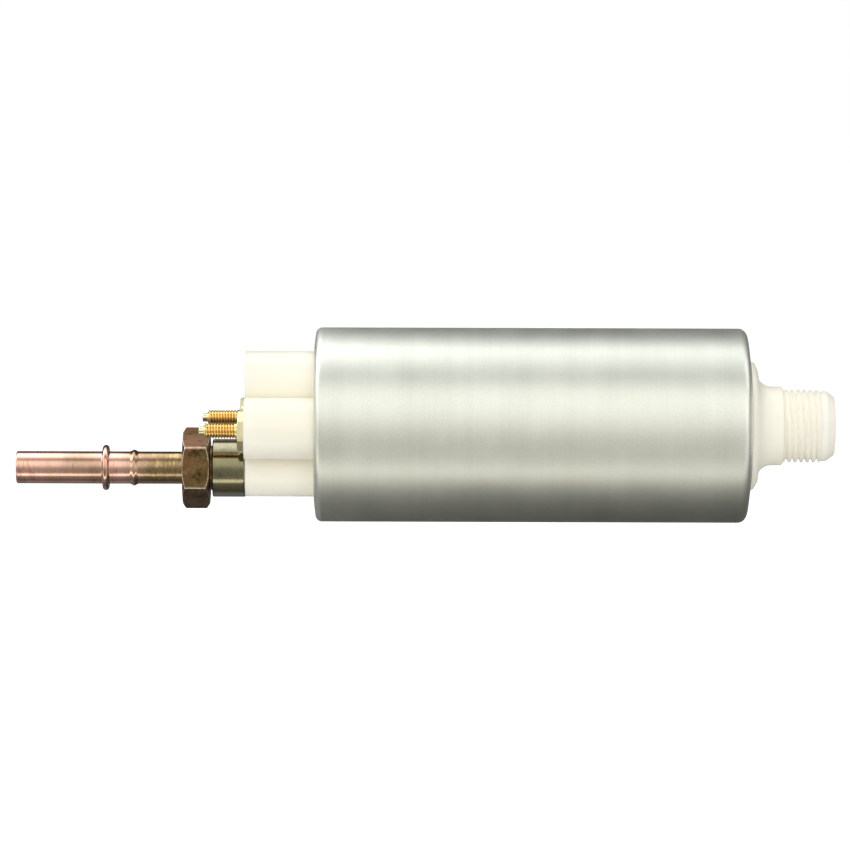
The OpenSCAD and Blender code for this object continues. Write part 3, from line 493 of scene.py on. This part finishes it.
finishes = {
    "zinc_steel": zincSteel(),
    "white_acetal": whiteAcetal(),
    "seal_rubber": rubber(),
    "chromated_tube": chromatedSteel(
        "chromatedTube",
        [(0.38, (226, 180, 152)), (0.45, (217, 173, 168)), (0.5, (230, 186, 158)), (0.56, (198, 148, 146)),
         (0.62, (220, 176, 162))],
        [(0.38, (184, 156, 114)), (0.46, (130, 110, 76)), (0.52, (162, 134, 104)), (0.6, (104, 84, 54)),
         (0.66, (172, 140, 112))],
        0.17, (0.2, 1.5), (120, (1, 0.7, 0.7)), (640, (1.8, 0.5, 0.5)), 0.45, drift=(-117, -92, 0.3)),
    "chromated_fitting": chromatedSteel(
        "chromatedFitting",
        [(0.36, (60, 33, 20)), (0.44, (100, 62, 39)), (0.5, (126, 86, 57)), (0.56, (106, 69, 45)),
         (0.64, (148, 114, 84))],
        [(0.36, (52, 40, 19)), (0.46, (92, 73, 41)), (0.54, (116, 94, 59)), (0.64, (132, 113, 78))],
        0.36, (0.2, 1.5), (260, (1, 1, 1)), (1300, (1, 1, 1)), 0.5, worn=(232, 206, 184)),
    "chromated_collar": chromatedSteel(
        "chromatedCollar",
        [(0.36, (72, 60, 18)), (0.46, (98, 86, 30)), (0.54, (112, 100, 42)), (0.64, (90, 76, 26))],
        [(0.36, (74, 71, 24)), (0.45, (98, 95, 40)), (0.55, (114, 110, 52)), (0.64, (90, 86, 34))],
        0.12, (1.0, 2.0), (180, (1, 1, 1)), (1000, (1.3, 0.8, 0.8)), 0.5),
    "terminal_brass": brass(),
    "enamelled_wire": enamelledWire(),
    "carbon": carbon(),
    "spring_steel": drawnSteel("springSteel", (196, 199, 204), 0.24, 2600),
    "bare_copper": drawnSteel("bareCopper", (214, 132, 92), 0.27, 2200, (1, 6, 1)),
    "ferrite": ferrite(),
    "sintered_bronze": sintered("sinteredBronze", (190, 146, 84), 0.4),
    "natural_nylon": naturalNylon(),
    "ground_steel": drawnSteel("groundSteel", (208, 211, 215), 0.16, 3400, (10, 0.4, 0.4)),
    "lamination_steel": laminationSteel(),
    "brown_phenolic": brownPhenolic(),
    "sintered_steel": sintered("sinteredSteel", (134, 138, 142), 0.42),
    "die_cast_plate": diecast(),
}
nodeSlot = {part["node"]: part["material_slot"] for part in frame["record"]["subparts"]}
for nodeName, node in frame["nodes"].items():
    for place in node.material_slots:
        place.material = finishes[nodeSlot[nodeName]]
    if not node.material_slots:
        node.data.materials.append(finishes[nodeSlot[nodeName]])
print("pump: finishes made,", len(finishes))


def fit(piece, slotName, *nodes):
    # gives a new piece its finish and hands the CAD nodes that it stands for over to it
    piece.data.materials.append(finishes[slotName])
    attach(piece, "pump_body")
    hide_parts(*nodes)
    return piece


# Can: one wall that is rolled in over both covers

def makeCan():
    can = {"r": 23.995, "wall": 1.5, "outlet": -53.75, "inlet": 53.75, "outletRoll": 1.6, "inletRoll": 2.2,
           "outletLip": 19.5, "inletLip": 16.0, "outletRise": 0.35, "inletRise": 0.8}
    # one closed profile (x, r), outside and inside, turned about X; each end is a cone that rises to its lip
    r, wall, left, right = can["r"], can["wall"], can["outlet"], can["inlet"]
    leftRise = can["outletRise"] * (r - can["outletLip"]) / (r - can["outletRoll"] - can["outletLip"])
    rightRise = can["inletRise"] * (r - can["inletLip"]) / (r - can["inletRoll"] - can["inletLip"])
    path = filletedPath([
        (left, can["outletLip"], 0.3),
        (left + leftRise, r, can["outletRoll"]),
        (right - rightRise, r, can["inletRoll"]),
        (right, can["inletLip"], 0.3),
        (right - wall, can["inletLip"], 0.15),
        (right - wall - can["inletRise"], r - wall, 0.5),
        (left + wall + can["outletRise"], r - wall, 0.4),
        (left + wall, can["outletLip"], 0.15),
    ], steps=10)
    return fit(turnedPiece("canShell", path, count=288), "zinc_steel", "can")


# Inlet cover: plate, neck and a nose with a helical thread

def makeInletCover():
    nose = {"thread": 9.0, "pitch": 1.5, "depth": 0.85, "start": 61.9, "end": 71.6, "bore": 5.6, "lead": 8.7,
            "crest": 0.3, "outside": 8.0}
    # one closed profile (x, r) turned about X; between start and end its radius is thread - threadDepth
    profile = filletedPath([
        (40.0, 17.0, 0.2),
        (40.0, 22.44, 0.4),
        (47.05, 22.44, 0.15),
        (47.05, 20.62, 0.2),
        (49.45, 20.62, 0.2),
        (49.45, 22.44, 0.15),
        (50.88, 22.44, 0.1),
        (51.48, 21.84, 0.1),
        (52.2, 15.94, 0.1),
        (53.75, 15.94, 0.3),
        (54.7, 15.64, 0.8),
        (55.5, 14.0, 0.6),
        (55.5, 9.75, 3.5),
        (61.6, 9.75, 0.3),
        (61.9, nose["thread"], 0.1),
        (70.9, nose["thread"], 0.1),
        (71.0, nose["lead"], 0.1),
        (72.5, nose["lead"], 0.5),
        (74.5, 7.2, 0.35),
        (74.5, nose["bore"], 0.3),
        (48.0, nose["bore"], 0.8),
        (44.0, 17.0, 0.8),
    ], steps=6)
    outside = profile[:, 1] > nose["outside"]
    inThread = outside & (profile[:, 0] > nose["start"] - 0.1) & (profile[:, 0] < nose["end"] + 0.4)
    first, last = np.flatnonzero(inThread)[[0, -1]]
    path = np.concatenate([profile[:first], finePath(profile[first:last + 1], 0.07), profile[last + 1:]])

    def threaded(x, r, t):
        cut = threadDepth(x, t, nose["start"], nose["end"], nose["pitch"], nose["depth"], 0.7, nose["crest"])
        within = (r > nose["outside"]) & (x > nose["start"]) & (x < nose["end"])
        return np.where(within, np.minimum(r, nose["thread"] - cut), r)

    return fit(turnedPiece("inletCoverNose", path, count=240, shape=threaded), "white_acetal", "inlet_cover")


# Outlet tube with its bead and low ridge

drop = -10.95  # height in mm of the outlet's axis over the can's


def makeTube():
    tube = {"r": 4.0, "bore": 2.95, "end": -127.35, "seat": -82.2, "bead": -105.25, "beadR": 5.6, "beadW": 1.6,
            "ridge": -98.25, "ridgeRise": 0.45, "ridgeHalf": 1.15, "outside": 3.7, "ridgePoints": 21}
    # one closed profile (x, r) turned about the outlet's axis, with a hump of its own points for the ridge
    halfBead = tube["beadW"] / 2
    path = filletedPath([
        (tube["end"], tube["bore"], 0.15),
        (tube["end"], tube["r"], 0.3),
        (tube["bead"] - halfBead, tube["r"], 0.3),
        (tube["bead"] - halfBead, tube["beadR"], 0.74),
        (tube["bead"] + halfBead, tube["beadR"], 0.74),
        (tube["bead"] + halfBead, tube["r"], 0.3),
        (tube["seat"], tube["r"], 0.2),
        (tube["seat"], tube["bore"], 0.1),
    ], steps=9)
    path = np.concatenate([path, path[:1]])
    path = finePath(path, 0.9)[:-1]
    ridge = tube["ridge"] + np.linspace(-1, 1, tube["ridgePoints"]) * tube["ridgeHalf"]
    outer = (path[:, 1] > tube["outside"]) & (path[:, 0] > tube["bead"] + 2) & (path[:, 0] < tube["seat"] - 1)
    near = outer & (np.abs(path[:, 0] - tube["ridge"]) < tube["ridgeHalf"] + 0.1)
    at = np.flatnonzero(outer & (path[:, 0] > tube["ridge"]))[0]
    before, after = path[:at][~near[:at]], path[at:][~near[at:]]
    hump = np.stack([ridge, np.full(len(ridge), tube["r"])], -1)
    path = np.concatenate([before, hump, after])

    def ridged(x, r, t):
        # the ridge is a low hump, rise * cos^2(pi d / 2 w)
        d = np.clip(np.abs(x - tube["ridge"]) / tube["ridgeHalf"], 0, 1)
        return np.where(r > tube["outside"], r + tube["ridgeRise"] * np.cos(d * np.pi / 2) ** 2 * (d < 1), r)

    return fit(turnedPiece("outletTubeBeaded", path, count=160, centre=(0, drop), shape=ridged),
               "chromated_tube", "outlet_tube")


# Outlet fitting: hexagon, neck and shank as one turned piece cut by six flats

def makeFitting():
    hexagon = {"corners": 20.2, "turn": 21.4, "left": -86.15, "right": -79.55, "chamfer": 0.85, "crown": 0.1,
               "rimWear": 0.26, "ridgeWear": 0.32}
    neck = {"r": 5.45, "end": -78.85, "shank": 4.95, "shankEnd": -61.95, "bore": 2.6, "socket": 4.05,
            "socketEnd": -82.15}
    # one closed profile (x, r) turned about the outlet's axis, and cut down to hexagonRadius where that is less
    half = hexagon["corners"] / 2
    path = filletedPath([
        (hexagon["left"], neck["socket"], 0.15),
        (hexagon["left"], half - 1.2, 0.12),
        (hexagon["left"] + hexagon["chamfer"], half + 0.1, 0.1),
        (hexagon["right"] - hexagon["chamfer"], half + 0.1, 0.1),
        (hexagon["right"], half - 1.2, 0.12),
        (hexagon["right"], neck["r"], 0.15),
        (neck["end"], neck["r"], 0.1),
        (neck["end"], neck["shank"], 0.1),
        (neck["shankEnd"], neck["shank"], 0.3),
        (neck["shankEnd"], neck["bore"], 0.15),
        (neck["socketEnd"], neck["bore"], 0.1),
        (neck["socketEnd"], neck["socket"], 0.1),
    ], steps=5)
    path = np.concatenate([path, path[:1]])
    path = finePath(path, 0.22)[:-1]

    def flats(x, r, t):
        # the flats are crowned by crown sin^2 3a at the angle a from a corner; the edges wear where the chamfers
        # meet the flats and along the six corners
        away = np.abs((t - math.radians(hexagon["turn"]) + np.pi / 6) % (np.pi / 3) - np.pi / 6)
        sides = hexagonRadius(t, hexagon["corners"], hexagon["turn"])
        sides = sides + hexagon["crown"] * np.sin(3 * np.minimum(away, np.pi / 6)) ** 2
        rim = np.clip(1 - np.abs(r - sides) / hexagon["rimWear"], 0, 1)
        ridge = np.clip(1 - away * half / hexagon["ridgeWear"], 0, 1) * (r > sides - 0.3)
        inside = (x < hexagon["right"] + 0.01) & (r > neck["r"] + 0.3)
        return softMin(r, sides, 0.22), np.maximum(rim, ridge) * inside

    return fit(turnedPiece("outletFittingHex", path, count=264, centre=(0, drop), shape=flats,
                           phase=math.radians(hexagon["turn"])), "chromated_fitting", "outlet_fitting")


def makeCollar():
    collar = {"left": -78.85, "right": -70.75, "r": 7.15, "bore": 5.0, "edge": 0.35}
    # one closed profile (x, r) turned about the outlet's axis
    path = filletedPath([
        (collar["left"], collar["bore"], 0.15),
        (collar["left"], collar["r"], collar["edge"]),
        (collar["right"], collar["r"], collar["edge"]),
        (collar["right"], collar["bore"], 0.15),
    ], steps=8)
    path = finePath(np.concatenate([path, path[:1]]), 0.8)[:-1]
    return fit(turnedPiece("outletCollarSleeve", path, count=192, centre=(0, drop)),
               "chromated_collar", "outlet_collar")


# Terminals: a dog point, a fine thread and a hexagonal flange

def makeTerminal(side, nodeName):
    stud = {"y": 11.0, "r": 1.95, "tip": -81.85, "dogR": 1.05, "dogLen": 1.2, "flangeLeft": -72.45,
            "flangeRight": -70.75, "corners": 10.0, "turn": 21.4, "end": -62.75, "pitch": 0.7, "depth": 0.42}
    # a profile (x, r) from pole to pole turned about the stud's axis, less threadDepth along its thread, and cut
    # down to hexagonRadius at the flange
    dogEnd = stud["tip"] + stud["dogLen"]
    path = filletedPath([
        (stud["tip"], 0.0, 0),
        (stud["tip"], stud["dogR"], 0.25),
        (dogEnd, stud["dogR"], 0.12),
        (dogEnd + 0.5, stud["r"], 0.1),
        (stud["flangeLeft"], stud["r"], 0.1),
        (stud["flangeLeft"], stud["corners"] / 2 - 0.5, 0.08),
        (stud["flangeLeft"] + 0.35, stud["corners"] / 2 + 0.05, 0.08),
        (stud["flangeRight"], stud["corners"] / 2 + 0.05, 0.08),
        (stud["flangeRight"], stud["r"], 0.05),
        (stud["end"], stud["r"], 0.25),
        (stud["end"], 0.0, 0),
    ], steps=5, closed=False)
    path = finePath(path, 0.07)

    def cut(x, r, t):
        groove = threadDepth(x, t, dogEnd + 0.15, stud["flangeLeft"] - 0.3, stud["pitch"], stud["depth"], 0.35)
        r = np.where((x > dogEnd) & (x < stud["flangeLeft"] - 0.05), r - groove, r)
        smooth = (x < dogEnd + 0.25) | (x > stud["flangeLeft"] - 0.12)
        # painted shade: 0 in the thread's roots, 0.5 on its crests and 1 on the smooth plated ends
        rootShadeAndPlating = np.where(smooth, 1.0, 0.5 - 0.5 * groove / stud["depth"])
        return softMin(r, hexagonRadius(t, stud["corners"], stud["turn"]), 0.12), rootShadeAndPlating

    return fit(turnedPiece("terminal" + ("Near" if side < 0 else "Far"), path, count=144,
                           centre=(side * stud["y"], 0), shape=cut, closed=False, phase=math.radians(stud["turn"])),
               "terminal_brass", nodeName)


# Springs: round wire with closed end turns, in the place of the coarse CAD coils

def makeSpring(pieceName, nodeName, wire, turns):
    # centre line: x grows by 1.05 wire a turn in the end turns and by more between them, with (y, z) on a circle;
    # the wire is a round section in the plane of the circle's normal n and of tangent x n.
    perTurn, sides, closedPitch = 48, 20, 1.05 * wire
    low, high = (np.array(corner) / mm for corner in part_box(nodeName))
    middle = (low + high) / 2
    r = (high[1] - low[1] - wire) / 2
    u = np.linspace(0, turns, turns * perTurn + 1)
    opening = np.clip((np.minimum(u, turns - u) - 0.7) / 0.5, 0, 1)
    spare = high[0] - low[0] - wire - closedPitch * turns
    x = low[0] + wire / 2 + closedPitch * u + spare * np.cumsum(opening) / opening.sum()
    t = 2 * np.pi * u
    line = np.stack([x, middle[1] + r * np.cos(t), middle[2] + r * np.sin(t)], 1)
    tangent = np.gradient(line, axis=0)
    tangent /= np.linalg.norm(tangent, axis=1)[:, None]
    normal = np.stack([0 * t, np.cos(t), np.sin(t)], 1)
    side = np.cross(tangent, normal)
    a = np.linspace(0, 2 * np.pi, sides, endpoint=False)[None, :, None]
    grid = line[:, None] + wire / 2 * (np.cos(a) * normal[:, None] + np.sin(a) * side[:, None])
    spring = gridMesh(pieceName, grid, ringClosed=False, poles=(True, True))
    spring.data.materials.append(finishes["spring_steel"])
    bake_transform(spring)
    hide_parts(nodeName)


# Brush leads: seven twisted strands from the choke round a bend to the back of the brush

def makeLead(pieceName, nodeName, side):
    # centre line: along Y from the choke, a quarter circle, then along X to the brush; the section's radius is
    # r (1 - depth + depth |cos(strands / 2 (a - twist s))|) at the angle a and the length s along the line
    lead = {"bend": 0.6, "strands": 7, "twist": 1.5, "depth": 0.14, "step": 0.12, "sides": 56}
    low, high = (np.array(corner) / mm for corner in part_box(nodeName))
    r = (high[2] - low[2]) / 2
    height, crossX = (high[2] + low[2]) / 2, low[0] + r
    axisY, chokeY = (high[1] - r, low[1]) if side < 0 else (low[1] + r, high[1])
    bend = np.linspace(0, np.pi / 2, 9)
    corner = np.stack([crossX + lead["bend"] * (1 - np.cos(bend)),
                       axisY + side * lead["bend"] * (1 - np.sin(bend))], 1)
    flat = finePath(np.concatenate([[[crossX, chokeY]], corner, [[high[0], axisY]]]), lead["step"])
    s = np.concatenate([[0], np.cumsum(np.linalg.norm(np.diff(flat, axis=0), axis=1))])
    tangent = np.gradient(flat, axis=0)
    tangent /= np.linalg.norm(tangent, axis=1)[:, None]
    line = np.concatenate([flat, np.full((len(flat), 1), height)], 1)
    across = np.stack([-tangent[:, 1], tangent[:, 0], 0 * s], 1)
    up = np.array([0.0, 0.0, 1.0])
    a = np.linspace(0, 2 * np.pi, lead["sides"], endpoint=False)
    strand = np.abs(np.cos(lead["strands"] / 2 * (a[None, :] - lead["twist"] * s[:, None])))
    reach = (r * (1 - lead["depth"] + lead["depth"] * strand))[:, :, None]
    grid = line[:, None] + reach * (np.cos(a)[None, :, None] * across[:, None] + np.sin(a)[None, :, None] * up)
    wire = gridMesh(pieceName, grid, ringClosed=False, poles=(True, True))
    wire.data.materials.append(finishes["bare_copper"])
    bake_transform(wire)
    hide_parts(nodeName)


makeCan()
makeInletCover()
makeTube()
makeFitting()
makeCollar()
makeTerminal(-1, "terminal_near")
makeTerminal(1, "terminal_far")
makeSpring("brushSpringNear", "brush_spring_near", 0.6, 8)
makeSpring("brushSpringFar", "brush_spring_far", 0.6, 8)
makeSpring("checkValveSpring", "check_valve_spring", 0.6, 4)
makeSpring("reliefSpring", "relief_spring", 0.5, 5)
makeLead("brushLeadNear", "brush_lead_near", -1)
makeLead("brushLeadFar", "brush_lead_far", 1)
print("pump: outer pieces, springs and leads made")


# Studio: pale floor, white surround, two soft lamps and the tent that the metal mirrors

studio = {"floor": -0.15, "key": 5.4, "fill": 8.2, "surround": 0.52, "tentRadius": 0.25, "tentLength": 1.4,
          "change": (-0.079, -0.058), "farOut": (0.2, 0.42, 1.6),
          "can": [(-180, 0.2), (-141, 0.07), (-88, 0.1), (-66, 0.2), (-54, 0.34), (-50, 0.42), (-49, 3.5),
                  (-45, 3.5), (-44, 0.5), (-25, 0.52), (-6, 0.6), (9, 1.03), (23, 1.42), (45, 1.56), (56, 1.45),
                  (57, 0.05), (69, 0.05), (72, 0.86), (89, 1.24), (98, 1.45), (100, 2.6), (107, 2.6), (110, 0.9),
                  (120, 0.4), (129, 0.12), (146, 0.06), (163, 0.06), (180, 0.2)],
          "outlet": [(-180, 0.2), (-141, 0.17), (-111, 0.34), (-96, 0.15), (-66, 0.3), (-55, 0.5), (-52, 2.15),
                     (-41, 2.15), (-38, 0.6), (-24, 0.42), (-10, 0.46), (3, 0.6), (15, 1.1), (26, 1.4), (36, 1.55),
                     (46, 1.5), (54, 1.0), (60, 0.6), (72, 0.6), (80, 1.6), (88, 2.0), (97, 2.75), (121, 2.75),
                     (127, 1.2), (134, 0.2), (150, 0.06), (167, 0.06), (180, 0.2)]}


def makeWorld():
    world = bpy.data.worlds.new("surround")
    scene.world = world
    world.use_nodes = True
    tree = world.node_tree
    back = tree.nodes["Background"]
    path = tree.nodes.new("ShaderNodeLightPath")
    seen = tree.nodes.new("ShaderNodeMath")
    seen.operation = "MAXIMUM"
    level = tree.nodes.new("ShaderNodeMapRange")
    tree.links.new(path.outputs["Is Camera Ray"], seen.inputs[0])
    tree.links.new(path.outputs["Is Transmission Ray"], seen.inputs[1])
    tree.links.new(seen.outputs[0], level.inputs["Value"])
    level.inputs["To Min"].default_value = studio["surround"]
    level.inputs["To Max"].default_value = 1.0
    back.inputs["Color"].default_value = (1, 1, 1, 1)
    tree.links.new(level.outputs["Result"], back.inputs["Strength"])


def makeFloor():
    mesh = bpy.data.meshes.new("floor")
    s, z = 5.0, studio["floor"]
    mesh.from_pydata([(-s, -s, z), (s, -s, z), (s, s, z), (-s, s, z)], [], [(0, 1, 2, 3)])
    floor = bpy.data.objects.new("floor", mesh)
    scene.collection.objects.link(floor)
    material = bpy.data.materials.new("paleFloor")
    material.use_nodes = True
    tree = material.node_tree
    shader = tree.nodes["Principled BSDF"]
    shader.inputs["Base Color"].default_value = (0.86, 0.86, 0.86, 1)
    shader.inputs["Roughness"].default_value = 0.9
    shader.inputs["Specular IOR Level"].default_value = 0.0
    glow = tree.nodes.new("ShaderNodeEmission")
    glow.inputs["Color"].default_value = (1, 1, 1, 1)
    path = tree.nodes.new("ShaderNodeLightPath")
    level = tree.nodes.new("ShaderNodeMath")
    level.operation = "MULTIPLY"
    level.inputs[1].default_value = 0.55
    tree.links.new(path.outputs["Is Camera Ray"], level.inputs[0])
    tree.links.new(level.outputs[0], glow.inputs["Strength"])
    both = tree.nodes.new("ShaderNodeAddShader")
    tree.links.new(shader.outputs[0], both.inputs[0])
    tree.links.new(glow.outputs[0], both.inputs[1])
    tree.links.new(both.outputs[0], tree.nodes["Material Output"].inputs["Surface"])
    mesh.materials.append(material)
    floor.visible_glossy = False  # the metal mirrors the tent instead


def makeTent():
    # a sleeve round the X axis that only mirrored rays see: its brightness depends on the angle about X,
    # from the side that faces the photographer (0) over the top (90) to the back (180)
    count = 96
    turn = np.linspace(-np.pi, np.pi, count + 1)
    ring = np.stack([-np.cos(turn), np.sin(turn)], -1) * studio["tentRadius"]
    ends = np.array([-0.5, 0.5]) * studio["tentLength"]
    grid = np.stack([np.broadcast_to(ends[:, None], (2, count + 1)),
                     np.broadcast_to(ring[:, 0], (2, count + 1)), np.broadcast_to(ring[:, 1], (2, count + 1))], -1)
    i = np.arange(count)
    faces = np.stack([i, i + 1, i + 1 + count + 1, i + count + 1], -1)
    mesh = bpy.data.meshes.new("lightTent")
    mesh.from_pydata(grid.reshape(-1, 3).tolist(), [], faces.tolist())
    tent = bpy.data.objects.new("lightTent", mesh)
    scene.collection.objects.link(tent)
    for kind in ("camera", "diffuse", "transmission", "volume_scatter", "shadow"):
        setattr(tent, "visible_" + kind, False)
    material = bpy.data.materials.new("tentCloth")
    material.use_nodes = True
    tree = material.node_tree
    tree.nodes.clear()

    def node(kind, **values):
        made = tree.nodes.new(kind)
        for key, value in values.items():
            setattr(made, key, value)
        return made

    def spread(source, low, high, toLow, toHigh):
        span = node("ShaderNodeMapRange")
        for socket, value in (("From Min", low), ("From Max", high), ("To Min", toLow), ("To Max", toHigh)):
            span.inputs[socket].default_value = value
        tree.links.new(source, span.inputs["Value"])
        return span.outputs["Result"]

    out, glow = node("ShaderNodeOutputMaterial"), node("ShaderNodeEmission")
    where, split = node("ShaderNodeTexCoord"), node("ShaderNodeSeparateXYZ")
    flip, angle = node("ShaderNodeMath", operation="MULTIPLY"), node("ShaderNodeMath", operation="ARCTAN2")
    away = node("ShaderNodeMath", operation="ABSOLUTE")
    both = node("ShaderNodeMix", data_type="RGBA")
    flip.inputs[1].default_value = -1
    tree.links.new(where.outputs["Object"], split.inputs[0])
    tree.links.new(split.outputs["Y"], flip.inputs[0])
    tree.links.new(split.outputs["Z"], angle.inputs[0])
    tree.links.new(flip.outputs[0], angle.inputs[1])
    share = spread(angle.outputs[0], -math.pi, math.pi, 0, 1)
    for side, target in (("outlet", both.inputs[6]), ("can", both.inputs[7])):
        ramp = node("ShaderNodeValToRGB")
        stops = []
        for degrees, level in studio[side]:
            warm = 0.5 + 0.5 * math.cos(math.radians(degrees + 40))
            tint = (level * (0.975 + 0.03 * warm), level, level * (1.0 - 0.09 * warm), 1)
            stops.append(((degrees + 180) / 360, tint))
        fillRamp(ramp.color_ramp, stops)
        tree.links.new(share, ramp.inputs["Fac"])
        tree.links.new(ramp.outputs["Color"], target)
    tree.links.new(spread(split.outputs["X"], *studio["change"], 0, 1), both.inputs[0])
    tree.links.new(both.outputs[2], glow.inputs["Color"])
    tree.links.new(split.outputs["X"], away.inputs[0])
    near, far, gain = studio["farOut"]
    tree.links.new(spread(away.outputs[0], near, far, 1, gain), glow.inputs["Strength"])
    tree.links.new(glow.outputs[0], out.inputs["Surface"])
    mesh.materials.append(material)


def makeLamp(name, place, target, size, power, colour):
    data = bpy.data.lights.new(name, "AREA")
    data.shape = "RECTANGLE"
    data.size, data.size_y = size
    data.energy = power
    data.color = colour
    lamp = bpy.data.objects.new(name, data)
    lamp.location = place
    lamp.rotation_euler = (Vector(target) - Vector(place)).to_track_quat("-Z", "Y").to_euler()
    lamp.visible_glossy = False
    scene.collection.objects.link(lamp)


def makeCamera():
    shot = {"elevation": 8.6, "distance": 1.25, "lens": 214.3, "roll": 0.185, "target": (-0.02643, 0.0, -0.00007)}
    data = bpy.data.cameras.new("camera")
    data.lens = shot["lens"]
    data.sensor_width = 36
    data.clip_start, data.clip_end = 0.05, 30
    camera = bpy.data.objects.new("camera", data)
    e = math.radians(shot["elevation"])
    target = Vector(shot["target"])
    camera.location = target + shot["distance"] * Vector((0, -math.cos(e), math.sin(e)))
    look = (target - camera.location).to_track_quat("-Z", "Y").to_matrix()
    camera.rotation_euler = (look @ Matrix.Rotation(math.radians(shot["roll"]), 3, "Z")).to_euler()
    scene.collection.objects.link(camera)
    scene.camera = camera


makeWorld()
makeFloor()
makeTent()
makeLamp("topSoftbox", (-0.05, 0.25, 1.1), (-0.03, 0, 0), (1.4, 0.8), studio["key"], (1.0, 0.99, 0.975))
makeLamp("frontSoftbox", (-0.15, -1.25, 0.62), (-0.03, 0, 0), (1.2, 0.9), studio["fill"], (1.0, 0.985, 0.955))
makeCamera()
print("pump: studio ready")
